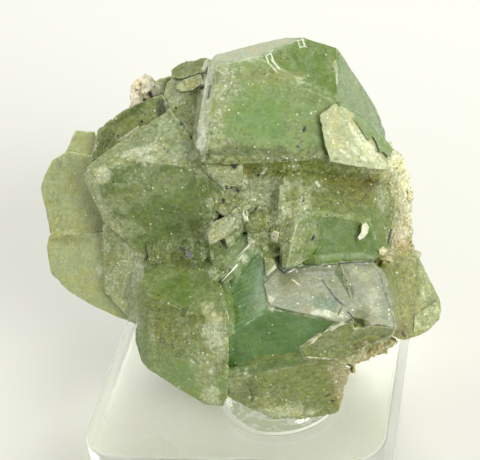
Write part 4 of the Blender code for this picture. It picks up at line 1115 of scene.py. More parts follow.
def make_feldspar():
    shape = flat_faces(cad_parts["feldspar_matrix"])
    find = spot_finder(shape)
    mesh, owners, normals = fine_mesh("feldspar_rock", shape, ROCK_FINE, ROCK_COARSE, 5)
    shape.free()
    places, directions, _, _ = edge_measures(mesh, owners, normals)
    rows = paint(mesh, owners, find, ROCK_FACES, ROCK_ZONES, ROCK_STROKES, places, 12)
    stain = ramp(rough_field(places, 0.16, 4, 13), -0.05, 0.55)[:, None] * 0.75
    rust = np.array([*srgb(0.58, 0.50, 0.33), 0.1, 0.6, 0.5, 0.2, 0.3])
    stain *= ramp(-(directions @ np.array(OUT)), 0.0, 0.4)[:, None]
    rows = rows * (1.0 - stain) + rust * stain
    depth = ROCK_BREAKS * cell_depth(places, 0.55, 14) + 0.10 * cell_depth(places, 1.3, 15)
    depth += ROCK_GRAIN * rough_field(places, 1.6, 4, 16) + 0.06
    depth *= 0.35 + 1.1 * rows[:, 4]
    set_places(mesh, places - directions * (depth * MM)[:, None])
    store_paint(mesh, rows)
    return link(bpy.data.objects.new("feldspar_rock", mesh))


feldspar = make_feldspar()
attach(feldspar, "root")
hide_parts("feldspar_matrix")

# %% [markdown]
# ## Reading the carved stone
# The smaller parts that follow lie on the carved skin and take its local colour, so one finder is built
# over both finished meshes: it gives the place behind a spot on the sheet and the paint there.

# %% A finder with paint
def read_paint(mesh):
    """The paint rows that store_paint kept."""
    tint = np.empty(len(mesh.vertices) * 4)
    mesh.attributes["tint"].data.foreach_get("color", tint)
    rows = np.empty((len(mesh.vertices), CHANNEL_COUNT))
    rows[:, :3] = tint.reshape(-1, 4)[:, :3]
    for column, name in enumerate(CHANNELS):
        values = np.empty(len(mesh.vertices))
        mesh.attributes[name].data.foreach_get("value", values)
        rows[:, 3 + column] = values
    return rows


def whole_finder(*things):
    """A function from a spot (right, up) on the sheet to the depth of the stone there and its paint."""
    places, triangles = [], []
    for thing in things:
        start = len(places)
        places += [vert.co.copy() for vert in thing.data.vertices]
        triangles += [[start + corner for corner in face.vertices] for face in thing.data.polygons]
    tree = BVHTree.FromPolygons(places, triangles)
    rows = np.concatenate([read_paint(thing.data) for thing in things])

    def find(spot):
        place, _, face, _ = tree.ray_cast(EYE, sight(spot))
        return (None, None) if place is None else ((place - EYE).length, rows[triangles[face][0]])

    return find


find_on_stone = whole_finder(crystals, feldspar)
find_crystal_face = spot_finder(flat_faces(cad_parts["herderite_crystals"]))
TABLE = {finish: np.array([*under_sheen(row[0]), *row[1:]]) for finish, row in FINISHES.items()}

# %% [markdown]
# ## New stone in the joints
# Crystals that grow into one another leave no open joint: later stone fills the corner between them. Each
# fill is a narrow skin along a path on the sheet. It spans from the stone on one side of the joint to the
# stone on the other, takes the colour of both, and is uneven and sugary.

# %% Laying the fills
FILL_STEP = 0.2
FILL_SIDES = 13
FILL_SINK = 0.16
FILL_BACK = 1.0
FILL_LIFT = 0.07
FILL_ROUNDS = 3
FILL_SPAN = 3.0
NEARBY_STATIONS = 3
SMALL_TINT = 0.82


def path_stations(path, step):
    """(spot, direction across) at even steps along a path on the sheet."""
    stations = []
    for start, end in zip(path, path[1:]):
        start, end = Vector(start), Vector(end)
        count = max(1, round((end - start).length / step))
        across = Vector((start.y - end.y, end.x - start.x)).normalized()
        stations += [[start.lerp(end, number / count), across] for number in range(count)]
    stations.append([Vector(path[-1]), stations[-1][1]])
    for number in range(1, len(stations) - 1):
        nearby = stations[max(0, number - NEARBY_STATIONS):number + NEARBY_STATIONS + 1]
        stations[number][1] = sum((item[1] for item in nearby), Vector((0, 0))).normalized()
    return stations


def smooth_run(values, reach):
    padded = np.pad(np.array(values, dtype=float), ((reach, reach), (0, 0)), mode="edge")
    return sum(padded[shift:shift + len(values)] for shift in range(2 * reach + 1)) / (2 * reach + 1)


def blurred(grid, passes):
    """The grid with each value drawn towards its neighbours, along and across."""
    for _ in range(passes):
        for axis in (0, 1):
            padded = np.pad(grid, [(1, 1) if axis == side else (0, 0) for side in (0, 1)], mode="edge")
            before, after = np.delete(padded, [-1, -2], axis), np.delete(padded, [0, 1], axis)
            grid = 0.5 * grid + 0.25 * (before + after)
    return grid


def fill_skin(find, path, half_width, finish, share, rough, seed):
    """(front places, rows) as grids of stations by sides, or None where there is no stone."""
    sides = np.linspace(-1.0, 1.0, FILL_SIDES)
    spots, stone, span, paints = [], [], [], []
    for spot, across in path_stations(path, FILL_STEP):
        line = [spot + across * half_width * side for side in sides]
        found = [find(here) for here in line]
        known = [depth for depth, _ in found if depth is not None]
        if not known:
            continue
        far = min(known) + FILL_SPAN * MM
        depths = [far if depth is None else min(depth, far) for depth, _ in found]
        rows = [row for _, row in found if row is not None]
        spots.append(line)
        stone.append(depths)
        span.append((depths[0], depths[-1]))
        paints.append((rows[0], rows[-1]))
    span = smooth_run(span, NEARBY_STATIONS)
    level = span[:, :1] * (1.0 - sides) / 2 + span[:, 1:] * (1.0 + sides) / 2
    level = blurred(np.minimum(np.array(stone), level), FILL_ROUNDS)
    places, rows = [], []
    for line, depths, (paint_one, paint_two) in zip(spots, level, paints):
        for here, side, depth in zip(line, sides, depths):
            uneven = noise.fractal(Vector((*here, seed)) * 1.7, 0.8, 2.1, 4)
            blend = min(1.0, max(0.0, 0.5 + side * 0.6 + uneven * 0.5))
            depth += (FILL_SINK * side ** 6 - FILL_LIFT * (1.0 - side * side) - rough * uneven) * MM
            places.append(EYE + sight(here) * depth)
            patchy = noise.fractal(Vector((*here, seed + 5)) * 1.1, 0.8, 2.1, 4)
            stain = share * min(1.0, max(0.0, 0.6 + 0.9 * patchy))
            row = paint_one * (1.0 - blend) + paint_two * blend
            rows.append(row * (1.0 - stain) + TABLE[finish] * stain)
    shape = (len(spots), FILL_SIDES, -1)
    return np.array(places).reshape(shape), np.array(rows).reshape(shape)


def lay_fills(name, find, fills, seed):
    """One mesh of closed skins: (path, half width in mm, finish, how much of it, roughness in mm)."""
    all_places, all_faces, all_rows, count = [], [], [], 0
    for number, (path, half_width, finish, share, rough) in enumerate(fills):
        places, rows = fill_skin(find, path, half_width, finish, share, rough, seed + number)
        long, wide = places.shape[:2]
        away = places - np.array(EYE)
        backs = places + away / np.linalg.norm(away, axis=2)[..., None] * FILL_BACK * MM
        grid = np.arange(long * wide).reshape(long, wide) + count
        back = grid + long * wide
        front_faces = np.stack([grid[:-1, :-1], grid[1:, :-1], grid[1:, 1:], grid[:-1, 1:]], axis=-1)
        back_faces = np.stack([back[:-1, :-1], back[:-1, 1:], back[1:, 1:], back[1:, :-1]], axis=-1)
        rim = np.concatenate([grid[0, :-1], grid[:-1, -1], grid[-1, :0:-1], grid[:0:-1, 0]])
        after = np.roll(rim, -1)
        walls = np.stack([rim, after, after + long * wide, rim + long * wide], axis=-1)
        all_places += [places.reshape(-1, 3), backs.reshape(-1, 3)]
        all_faces += [front_faces.reshape(-1, 4), back_faces.reshape(-1, 4), walls]
        all_rows += [rows.reshape(-1, CHANNEL_COUNT)] * 2
        count += 2 * long * wide
    mesh = bpy.data.meshes.new(name)
    places = np.concatenate(all_places)
    mesh.from_pydata(places.tolist(), [], np.concatenate(all_faces).tolist())
    rows = paint_over(np.concatenate(all_rows), places, find_crystal_face, TABLE, [], STROKES, seed)
    rows[:, :3] *= SMALL_TINT
    store_paint(mesh, rows)
    print(name, "has", len(fills), "fills,", 2 * len(mesh.polygons), "triangles")
    return link(bpy.data.objects.new(name, mesh))


# %% Where the fills lie
FILLS = [
    ([(-5.2, 7.4), (-4.0, 7.0), (0.0, 6.7), (5.0, 6.8), (9.0, 6.6), (14.0, 5.8), (16.0, 5.0)],
     0.9, "olive_grey", 0.60, 0.13),
    ([(-9.2, -2.4), (-5.5, -1.8), (-2.6, -2.9), (-0.9, -4.9)], 1.3, "dark_olive", 0.75, 0.16),
    ([(-4.2, 0.8), (-3.2, -1.0), (-2.0, -3.0)], 1.0, "dark_olive", 0.50, 0.13),
    ([(-2.6, -1.6), (-1.6, -3.2), (-0.4, -4.4)], 1.0, "olive_green", 0.50, 0.08),
    ([(-4.0, 7.0), (-3.8, 4.0), (-3.2, 2.2), (-3.3, 0.4)], 0.8, "olive", 0.30, 0.13),
    ([(0.4, 6.6), (0.2, 4.4), (0.8, 2.2), (0.9, 0.4)], 0.7, "olive_grey", 0.40, 0.13),
    ([(4.0, 6.4), (3.9, 1.5), (3.2, -1.0), (2.6, -3.2)], 0.9, "olive_grey", 0.50, 0.13),
    ([(-0.2, 2.4), (1.4, 0.6), (2.4, -0.6), (3.2, -2.8)], 1.0, "olive", 0.50, 0.16),
    ([(-1.2, -5.8), (-0.3, -3.8), (1.0, -2.2), (2.2, -1.2)], 0.7, "olive_green", 0.50, 0.08),
    ([(-1.2, -14.2), (2.0, -13.5), (6.0, -12.8), (9.5, -13.2)], 0.45, "dark_olive", 0.50, 0.10),
    ([(6.4, -3.1), (9.6, -2.7), (12.6, -2.5)], 0.6, "deep_green", 0.90, 0.02),
    ([(7.2, 1.7), (9.4, 1.5), (12.6, 1.0)], 0.5, "olive", 0.60, 0.04),
    ([(14.2, -3.0), (15.2, -6.0), (15.6, -10.0)], 0.45, "olive", 0.45, 0.10),
    ([(-3.9, 13.6), (-4.3, 10.4), (-4.6, 7.6)], 0.35, "dark_olive", 0.40, 0.10),
    ([(15.4, 5.0), (16.0, 2.4), (15.7, 0.2), (14.6, -1.8)], 0.7, "sand", 0.50, 0.13),
    ([(13.4, -2.8), (14.6, -2.4), (16.4, -2.2), (18.0, -2.8)], 0.6, "sand", 0.40, 0.10),
    ([(-9.6, -2.2), (-10.4, -5.6), (-10.6, -9.2)], 0.6, "olive_green", 0.40, 0.05),
    ([(-18.9, -0.2), (-16.5, -0.2), (-14.2, -0.3)], 0.4, "yellow_olive", 0.60, 0.03),
    ([(8.8, -12.9), (10.6, -13.6)], 0.5, "olive_grey", 0.50, 0.08),
    ([(-4.2, -2.7), (-2.7, -4.0), (-1.6, -5.6), (-1.2, -7.6), (-1.1, -10.4)], 0.7, "olive_green", 0.60, 0.06),
    ([(-3.8, 1.2), (-2.6, 1.9), (-1.2, 2.6)], 0.6, "olive", 0.40, 0.13),
    ([(0.0, 1.8), (0.0, 0.2), (-0.9, -0.8)], 0.6, "olive", 0.40, 0.13),
]
joint_fills = lay_fills("joint_fills", find_on_stone, FILLS, 31)
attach(joint_fills, "root")

# %% [markdown]
# ## Splinters on the skin
# Flat splinters of clear and white herderite are stuck between the big crystals, and broken edges have
# sharp steps. Each is a low piece with a flat cut top: an outline on the sheet, its height in mm, how far
# its top is inset, and its finish.

# %% Cutting the splinters
SPLINTER_SINK = 0.5
SPLINTER_STEP = 0.8
SPLINTER_TILT = 0.25
SPLINTER_FINE = 0.25 * MM


def ring_faces(shape, rings):
    """Join rings of the same number of points into a closed skin."""
    for below, above in zip(rings, rings[1:]):
        for step in range(len(below)):
            after = (step + 1) % len(below)
            shape.faces.new((below[step], below[after], above[after], above[step]))
    shape.faces.new(list(reversed(rings[0])))
    shape.faces.new(rings[-1])


def splinter_levels(find, outline):
    """The depth of the stone under each corner of an outline, as a plane, and the paint under it."""
    found = [find(spot) for spot in outline]
    depths = [depth for depth, _ in found if depth is not None]
    near = sorted(depths)[len(depths) // 3]
    far = near + SPLINTER_STEP * MM
    known = [(spot, depth) for spot, (depth, _) in zip(outline, found) if depth and depth < far]
    table = np.array([[1.0, *spot] for spot, _ in known] + [[0.0, 0.05, 0.0], [0.0, 0.0, 0.05]])
    goal = np.array([depth for _, depth in known] + [0.0, 0.0])
    plane = np.linalg.lstsq(table, goal, rcond=None)[0]
    return plane, np.mean([row for _, row in found if row is not None], axis=0)


def add_splinter(shape, find, outline, height, inset, chance):
    """One low piece with a flat cut top, added to a shape: its sunk foot, its bevel and its top."""
    plane, under = splinter_levels(find, outline)
    centre = np.mean(outline, axis=0)
    sides = len(outline)

    def at(spot, lift):
        depth = plane @ np.array([1.0, *spot])
        return shape.verts.new(EYE + sight(spot) * (depth - lift * MM))

    tilt = np.array((chance.uniform(-1, 1), chance.uniform(-1, 1))) * SPLINTER_TILT * height
    tops = [(np.array(spot) - centre) * (1.0 - inset) for spot in outline]
    rings = [
        [at(spot, -SPLINTER_SINK) for spot in outline],
        [at(spot, 0.25 * height) for spot in outline],
        [at(centre + offset, height + offset @ tilt / max(abs(offset).max(), 0.1)) for offset in tops],
    ]
    ring_faces(shape, rings)
    return under, 2 * sides + 2


def lay_splinters(name, find, splinters, seed):
    """One mesh of low flat-topped pieces: (outline, height in mm, inset share, finish)."""
    chance = random.Random(seed)
    shape = bmesh.new()
    face_rows = []
    for outline, height, inset, finish in splinters:
        under, count = add_splinter(shape, find, outline, height, inset, chance)
        face_rows += [under * 0.1 + TABLE[finish] * 0.9] * count
    bmesh.ops.recalc_face_normals(shape, faces=shape.faces[:])
    marks = stroke_marks(spot_finder(shape), STROKES)
    mesh, owners, normals = fine_mesh(name, shape, SPLINTER_FINE, SPLINTER_FINE, seed, marks)
    shape.free()
    places, _, _, _ = edge_measures(mesh, owners, normals)
    corners = triangle_corners(mesh).ravel()
    rows = np.zeros((len(places), CHANNEL_COUNT))
    rows[corners] = np.array(face_rows)[np.repeat(owners, 3)]
    rows = paint_over(rows, places, find_crystal_face, TABLE, SPLINTER_ZONES, STROKES, seed)
    rows[:, :3] *= SMALL_TINT
    store_paint(mesh, rows)
    return link(bpy.data.objects.new(name, mesh))


# %% Where the splinters lie
LEDGE_TOP = [
    (3.8, -3.9), (6.0, -3.6), (10.0, -3.4), (13.2, -3.2), (13.9, -4.0), (14.4, -5.3), (15.0, -7.5),
    (15.5, -9.8), (14.3, -9.5), (13.0, -9.3), (12.2, -8.9), (11.2, -8.8), (10.5, -9.3), (9.6, -9.2),
    (7.8, -8.7), (5.0, -8.1), (2.9, -7.5), (2.3, -5.4),
]
SPLINTER_ZONES = [
    # the blue patch on the ledge top is a painted sheen
    ((8.4, -7.2), (1.3, 1.1), -20, "blue_sheen", 0.80),
    ((9.4, -5.4), (0.7, 0.7), 0, "olive", 0.45),
    ((8.4, -8.3), (1.8, 0.3), -6, "white", 0.55),
    ((13.4, -7.0), (0.6, 2.2), 14, "white", 0.20),
    ((12.6, -4.4), (1.2, 0.5), -30, "frost", 0.20),
    ((3.0, -7.0), (0.4, 0.5), 30, "white", 0.60),
    ((12.2, -8.6), (0.7, 0.7), 0, "dark_olive", 0.70),
]
CRYSTAL_SPLINTERS = [
    # the ledge top, painted with its sheen
    (LEDGE_TOP, 0.42, 0.015, "sheen"),
    # the centre
    ([(-3.9, 6.4), (-1.6, 6.7), (0.3, 6.6), (0.3, 5.4), (-0.4, 4.6), (-1.8, 4.3), (-3.0, 5.3)],
     0.35, 0.25, "pale_grey"),
    ([(3.0, -0.3), (3.4, 0.0), (3.9, -0.2), (3.9, -0.8), (3.6, -1.3), (3.1, -1.1)], 0.6, 0.3, "snow"),
    ([(2.4, -2.7), (3.5, -3.1), (3.7, -3.8), (2.6, -4.7)], 0.4, 0.10, "snow"),
    ([(0.3, 2.2), (0.8, 1.8), (0.9, 0.8), (0.4, 0.9), (0.2, 1.6)], 0.45, 0.2, "white"),
    ([(0.4, 0.5), (0.8, 1.5), (1.7, 1.8), (2.5, 1.4), (2.6, 0.4), (1.8, -0.2), (0.8, -0.2)],
     0.6, 0.4, "olive_grey"),
    ([(0.7, -0.6), (1.6, -1.0), (1.5, -1.8), (0.8, -1.6)], 0.4, 0.2, "frost"),
    ([(-1.6, -0.8), (-0.6, -0.5), (-0.4, -1.4), (-1.2, -1.9)], 0.3, 0.2, "pale_grey"),
    ([(-2.0, -5.35), (-1.85, -5.15), (-0.3, -3.35), (-0.2, -3.55)], 0.25, 0.0, "snow"),
    ([(-0.3, -2.75), (-0.15, -2.6), (0.9, -1.4), (1.0, -1.6)], 0.25, 0.0, "snow"),
    ([(-5.6, -2.0), (-5.1, -1.9), (-4.7, -2.3), (-5.0, -2.8), (-5.5, -2.6)], 0.12, 0.1, "black"),
    ([(-6.1, -1.8), (-5.8, -1.7), (-5.8, -2.1)], 0.1, 0.1, "black"),
    ([(-4.5, -2.9), (-4.2, -2.8), (-4.3, -3.1)], 0.1, 0.1, "black"),
    ([(-1.45, 4.4), (-1.2, 4.35), (-1.25, 4.15)], 0.1, 0.1, "black"),
    ([(-0.9, 4.35), (-0.7, 4.3), (-0.8, 4.1)], 0.1, 0.1, "black"),
    ([(-0.3, 4.0), (-0.1, 4.0), (-0.1, 3.7), (-0.25, 3.75)], 0.1, 0.1, "black"),
    ([(-1.8, 3.1), (-1.6, 3.15), (-1.6, 2.9)], 0.1, 0.1, "black"),
    ([(-0.9, 6.7), (-0.5, 6.6), (-0.3, 6.2), (-0.7, 6.3)], 0.4, 0.1, "black"),
    ([(-3.0, 0.4), (-2.4, 1.0), (-2.2, 1.3), (-2.5, 1.1)], 0.15, 0.0, "black"),
    # on the right crystal
    ([(12.2, 0.6), (12.6, 0.8), (12.9, 0.3), (12.8, -0.3), (12.4, -0.8), (11.9, -1.1), (11.7, -0.8),
      (12.1, -0.2)], 0.55, 0.15, "snow"),
    # a small white piece that stands in for a glint: a painted highlight
    ([(7.4, 4.8), (7.7, 5.0), (8.1, 4.4), (7.8, 4.2)], 0.15, 0.2, "white"),
    # the jagged skin over the chip's right edge
    ([(9.8, 12.6), (10.5, 11.8), (11.0, 11.7), (11.2, 11.0), (11.6, 10.8), (12.0, 10.2), (12.6, 9.3),
      (12.9, 8.9), (13.3, 9.4), (13.7, 8.7), (14.0, 7.8), (14.4, 7.8), (15.0, 7.2), (15.3, 8.0), (14.8, 8.8),
      (13.6, 10.0), (12.4, 11.2), (10.2, 12.9)], 0.2, 0.01, "blue_green"),
    # behind the left crystal
    ([(-6.6, 14.3), (-5.6, 15.1), (-3.9, 15.7), (-3.7, 14.6), (-4.8, 13.9), (-6.0, 13.8)],
     0.25, 0.12, "pale_olive"),
    # the ledge's front edge
    ([(6.9, -11.5), (7.6, -10.6), (8.2, -10.4), (7.4, -11.3)], 0.15, 0.2, "cream"),
    ([(8.2, -10.3), (9.2, -9.6), (9.6, -9.5), (8.6, -10.2)], 0.15, 0.2, "cream"),
    # the wing
    ([(17.4, -8.6), (18.2, -8.0), (19.9, -7.0), (20.1, -8.2), (19.0, -9.8), (17.3, -10.3)],
     0.16, 0.06, "pale_olive"),
]
ROCK_SPLINTERS = [
    ([(16.8, 4.0), (17.2, 3.8), (17.4, 3.2), (17.0, 2.7), (16.7, 3.0)], 0.3, 0.3, "cream"),
    ([(13.8, -2.0), (14.3, -1.6), (14.8, -2.0), (14.4, -2.6), (13.9, -2.5)], 0.4, 0.3, "cream"),
    ([(14.5, -2.5), (15.2, -2.2), (15.6, -2.8), (15.0, -3.3)], 0.4, 0.3, "pink_cream"),
]
find_on_filled = whole_finder(crystals, feldspar, joint_fills)
splinters = lay_splinters("splinters", find_on_filled, CRYSTAL_SPLINTERS, 41)
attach(splinters, "root")
rock_splinters = lay_splinters("rock_splinters", find_on_filled, ROCK_SPLINTERS, 42)
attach(rock_splinters, "root")

# %% [markdown]
# ## Grains in the seams
# Small grains lie in the joints and along the broken rim: chips of herderite and crumbs of feldspar. Each
# is a small hull round random points, sunk deep into the stone so that only its top shows, and it keeps
# part of the colour around it.

# %% Grain shapes
GRAIN_KINDS = 14
GRAIN_CORNERS = 11
GRAIN_SINK = 0.30
LOCAL_COLOUR = 0.5


def grain_shapes(seed):
    """A few angular hulls of about unit radius, as (corner places, triangles)."""
    chance = random.Random(seed)
    shapes = []
    for _ in range(GRAIN_KINDS):
        hull = bmesh.new()
        stretch = Vector((chance.uniform(0.6, 1.1), chance.uniform(0.5, 1.0), chance.uniform(0.45, 0.9)))
        for _ in range(GRAIN_CORNERS):
            aim = Vector((chance.gauss(0, 1), chance.gauss(0, 1), chance.gauss(0, 1))).normalized()
            hull.verts.new(aim * stretch)
        made = bmesh.ops.convex_hull(hull, input=hull.verts[:])
        inner = [item for item in made["geom_interior"] if isinstance(item, bmesh.types.BMVert)]
        bmesh.ops.delete(hull, geom=inner, context="VERTS")
        bmesh.ops.triangulate(hull, faces=hull.faces[:])
        bmesh.ops.recalc_face_normals(hull, faces=hull.faces[:])
        hull.verts.index_update()
        corners = np.array([vert.co[:] for vert in hull.verts])
        triangles = np.array([[vert.index for vert in face.verts] for face in hull.faces])
        shapes.append((corners, triangles))
        hull.free()
    return shapes


# %% Laying the grains
def lay_grains(name, find, runs, seed):
    """One mesh of grains along paths: (path, half width, smallest, largest, grains per mm, finishes)."""
    chance = random.Random(seed)
    shapes = grain_shapes(seed)
    all_places, all_triangles, all_rows, count = [], [], [], 0
    for path, half_width, small, large, per_mm, finishes in runs:
        for start, end in zip(path, path[1:]):
            start, end = Vector(start), Vector(end)
            across = Vector((start.y - end.y, end.x - start.x)).normalized()
            for _ in range(round((end - start).length * per_mm)):
                spot = start.lerp(end, chance.random()) + across * chance.gauss(0, 0.5) * half_width
                size = small + (large - small) * chance.random() ** 2
                finish = TABLE[chance.choice(finishes)]
                turn = Vector((chance.gauss(0, 1), chance.gauss(0, 1), chance.gauss(0, 1))).normalized()
                spin = Matrix.Rotation(chance.uniform(0, math.tau), 3, turn)
                corners, triangles = shapes[chance.randrange(GRAIN_KINDS)]
                shade = chance.uniform(0.85, 1.2)
                depth, under = find(spot)
                if depth is None:
                    continue
                place = EYE + sight(spot) * (depth + GRAIN_SINK * size / 2 * MM)
                corners = corners @ np.array(spin).T * (size / 2 * MM) + np.array(place)
                row = finish * (1.0 - LOCAL_COLOUR) + under * LOCAL_COLOUR
                row = row * np.array([shade] * 3 + [1] * len(CHANNELS))
                all_places.append(corners)
                all_triangles.append(triangles + count)
                all_rows.append(np.repeat(row[None, :], len(corners), axis=0))
                count += len(corners)
    mesh = bpy.data.meshes.new(name)
    mesh.from_pydata(np.concatenate(all_places).tolist(), [], np.concatenate(all_triangles).tolist())
    store_paint(mesh, np.concatenate(all_rows))
    print(name, "has", len(all_places), "grains,", len(mesh.polygons), "triangles")
    return link(bpy.data.objects.new(name, mesh))


# %% Where the grains lie
OLIVE_MIX = ("olive", "dark_olive", "olive_grey", "flecked")
GREY_MIX = ("pale_grey", "grey_green", "frost", "flecked", "olive")
DARK_MIX = ("dark_olive", "olive_grey", "olive")
CREAM_MIX = ("cream", "cream", "pink_cream", "chip_pale", "sand")
PALE_MIX = ("cream", "sand", "chip_pale", "rust")
CRYSTAL_RUNS = [
    ([(-4.0, 7.2), (0.5, 7.0), (5.0, 7.0), (9.0, 6.9)], 1.2, 0.1, 0.5, 14, OLIVE_MIX),
    ([(9.0, 6.5), (12.5, 5.8), (15.5, 5.2)], 1.0, 0.1, 0.5, 14, OLIVE_MIX),
    ([(-9.0, -2.6), (-5.0, -1.9), (-2.5, -3.4), (-1.2, -5.2)], 1.6, 0.1, 0.7, 16, DARK_MIX),
    ([(-3.5, 6.5), (-1.8, 3.5), (-0.8, 1.5), (-3.2, -0.2)], 0.9, 0.1, 0.6, 12, GREY_MIX),
    ([(-0.5, 3.0), (1.5, 2.6), (3.5, 1.0), (4.0, -1.5)], 1.8, 0.1, 0.8, 22, GREY_MIX),
    ([(0.5, 0.5), (2.5, -0.8), (3.6, -2.8)], 1.4, 0.1, 0.8, 16, GREY_MIX + OLIVE_MIX),
    ([(4.2, 3.6), (7.5, 3.2), (8.0, 0.8)], 1.6, 0.1, 0.5, 14, GREY_MIX + OLIVE_MIX),
    ([(-8.0, 13.5), (-6.5, 12.0), (-4.5, 10.0), (-4.0, 7.5)], 0.7, 0.1, 0.5, 9, OLIVE_MIX),
    ([(11.5, -8.0), (12.8, -9.2), (11.8, -9.6)], 0.8, 0.1, 0.5, 18, OLIVE_MIX + ("frost",)),
]
ROCK_RUNS = [
    ([(14.8, 6.5), (16.3, 3.5), (16.4, 0.0), (15.3, -2.6)], 0.9, 0.1, 0.7, 12, CREAM_MIX),
    ([(10.5, -13.5), (13.0, -12.2), (16.0, -10.8)], 0.9, 0.1, 0.7, 16, PALE_MIX),
    ([(9.6, -14.0), (9.8, -16.5), (8.6, -18.2)], 0.6, 0.1, 0.6, 10, PALE_MIX),
    ([(0.5, -17.3), (4.0, -18.6), (8.0, -18.5)], 0.6, 0.1, 0.6, 8, ("cream", "frost")),
]
seam_grains = lay_grains("seam_grains", find_on_filled, CRYSTAL_RUNS, 21)
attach(seam_grains, "root")
rim_crumbs = lay_grains("rim_crumbs", find_on_filled, ROCK_RUNS, 22)
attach(rim_crumbs, "root")


# %% [markdown]
# ## Shader helpers and shared effects
# The crystals and the rock share the same small effects: mottled grain, scattered dots and thin white
# veils. Each is a node group with named inputs and outputs, built once. All of them work in millimetres
# of the stone itself, so the pattern is solid: it runs on round every edge.

# %% Small helpers for nodes
def add_node(tree, kind, inputs=None, **settings):
    """A shader node with its settings; an input is given as a value or as the socket that feeds it."""
    made = tree.nodes.new("ShaderNode" + kind)
    for name, value in settings.items():
        setattr(made, name, value)
    for name, value in (inputs or {}).items():
        if isinstance(value, bpy.types.NodeSocket):
            tree.links.new(value, made.inputs[name])
        else:
            made.inputs[name].default_value = value
    return made


def maths(tree, operation, first, second=0.0, clamp=False):
    inputs = {0: first, 1: second}
    return add_node(tree, "Math", inputs, operation=operation, use_clamp=clamp).outputs[0]


def mix_colours(tree, share, first, second, blend="MIX"):
    inputs = {0: share, 6: first, 7: second}
    return add_node(tree, "Mix", inputs, data_type="RGBA", blend_type=blend).outputs[2]


def rise(tree, value, start, end, low=0.0, high=1.0):
    """A smooth rise from low at start to high at end."""
    inputs = {"Value": value, "From Min": start, "From Max": end, "To Min": low, "To Max": high}
    return add_node(tree, "MapRange", inputs, interpolation_type="SMOOTHSTEP").outputs[0]


def new_group(name, inputs, outputs):
    """A shader node group and its input and output nodes."""
    group = bpy.data.node_groups.new(name, "ShaderNodeTree")
    for label, kind, value in inputs:
        socket = group.interface.new_socket(label, in_out="INPUT", socket_type="NodeSocket" + kind)
        if value is not None:
            socket.default_value = value
    for label, kind in outputs:
        group.interface.new_socket(label, in_out="OUTPUT", socket_type="NodeSocket" + kind)
    return group, group.nodes.new("NodeGroupInput").outputs, group.nodes.new("NodeGroupOutput").inputs


def use_group(tree, group, inputs):
    return add_node(tree, "Group", inputs, node_tree=group).outputs


# %% Mottled grain
def build_mottle():
    """Cloudy patches, a fine grain and a sugary pattern of tiny cells, all about 0.5 on average."""
    group, given, result = new_group(
        "mottled_grain",
        [("Place", "Vector", None), ("Clouds per mm", "Float", 0.5), ("Grains per mm", "Float", 3.5)],
        [("Clouds", "Float"), ("Grain", "Float"), ("Sugar", "Float")],
    )
    inputs = {"Vector": given["Place"], "Scale": given["Clouds per mm"], "Detail": 4.0, "Roughness": 0.6}
    group.links.new(add_node(group, "TexNoise", inputs).outputs[0], result["Clouds"])
    inputs = {"Vector": given["Place"], "Scale": given["Grains per mm"], "Detail": 3.0, "Roughness": 0.7}
    fine = add_node(group, "TexNoise", inputs)
    group.links.new(fine.outputs[0], result["Grain"])
    shifted = add_node(group, "VectorMath", {0: fine.outputs["Color"], 1: (0.5, 0.5, 0.5)}, operation="SCALE")
    shifted.inputs["Scale"].default_value = 0.5
    shifted = add_node(group, "VectorMath", {0: given["Place"], 1: shifted.outputs[0]}, operation="ADD")
    cells = add_node(group, "TexVoronoi", {"Vector": shifted.outputs[0], "Scale": given["Grains per mm"]})
    group.links.new(add_node(group, "SeparateColor", {0: cells.outputs["Color"]}).outputs[0], result["Sugar"])
    return group


# %% Scattered dots
def build_dots():
    """A mask of small round dots. Share says what part of the cells hold one, Size is a radius in mm."""
    group, given, result = new_group(
        "scattered_dots",
        [
            ("Place", "Vector", None),
            ("Cells per mm", "Float", 1.0),
            ("Share", "Float", 0.2),
            ("Size", "Float", 0.1),
        ],
        [("Mask", "Float")],
    )
    cells = add_node(group, "TexVoronoi", {"Vector": given["Place"], "Scale": given["Cells per mm"]})
    random_part = add_node(group, "SeparateColor", {0: cells.outputs["Color"]})
    chosen = maths(group, "LESS_THAN", random_part.outputs[0], given["Share"])
    radius = maths(group, "MULTIPLY", given["Size"], given["Cells per mm"])
    radius = maths(group, "MULTIPLY", radius, rise(group, random_part.outputs[1], 0.0, 1.0, 0.5, 1.3))
    share = maths(group, "DIVIDE", cells.outputs["Distance"], radius)
    group.links.new(maths(group, "MULTIPLY", chosen, rise(group, share, 1.2, 0.7)), result["Mask"])
    return group


# %% White veils
def build_veils():
    """A mask of thin wavy sheets, as healed cracks show inside a crystal."""
    group, given, result = new_group(
        "white_veils",
        [("Place", "Vector", None), ("Veils per mm", "Float", 0.5), ("Width", "Float", 0.08)],
        [("Mask", "Float")],
    )
    inputs = {"Vector": given["Place"], "Scale": given["Veils per mm"], "Detail": 4.0, "Roughness": 0.6}
    wave = add_node(group, "TexNoise", inputs).outputs[0]
    near = maths(group, "ABSOLUTE", maths(group, "SUBTRACT", wave, 0.5))
    group.links.new(rise(group, near, given["Width"], 0.0), result["Mask"])
    return group


MOTTLE = build_mottle()
DOTS = build_dots()
VEILS = build_veils()
print("effects:", [group.name for group in bpy.data.node_groups])

# %% [markdown]
# ## The crystal finish
# Light goes some way into herderite before it comes back, so the shader lets a part of it through and
# scatters a part below the skin. The paint on the mesh gives the colour and the five amounts; the shader
# breaks them up into grain, veils, black specks and painted glints.

# %% Millimetres of the stone
def stone_millimetres(tree):
    """The place inside the stone in mm."""
    place = add_node(tree, "TexCoord").outputs["Object"]
    return add_node(tree, "VectorMath", {0: place, 1: (1.0 / MM,) * 3}, operation="MULTIPLY").outputs[0]


def painted(tree, name):
    found = add_node(tree, "Attribute", attribute_name=name)
    return found.outputs["Color" if name == "tint" else "Fac"]


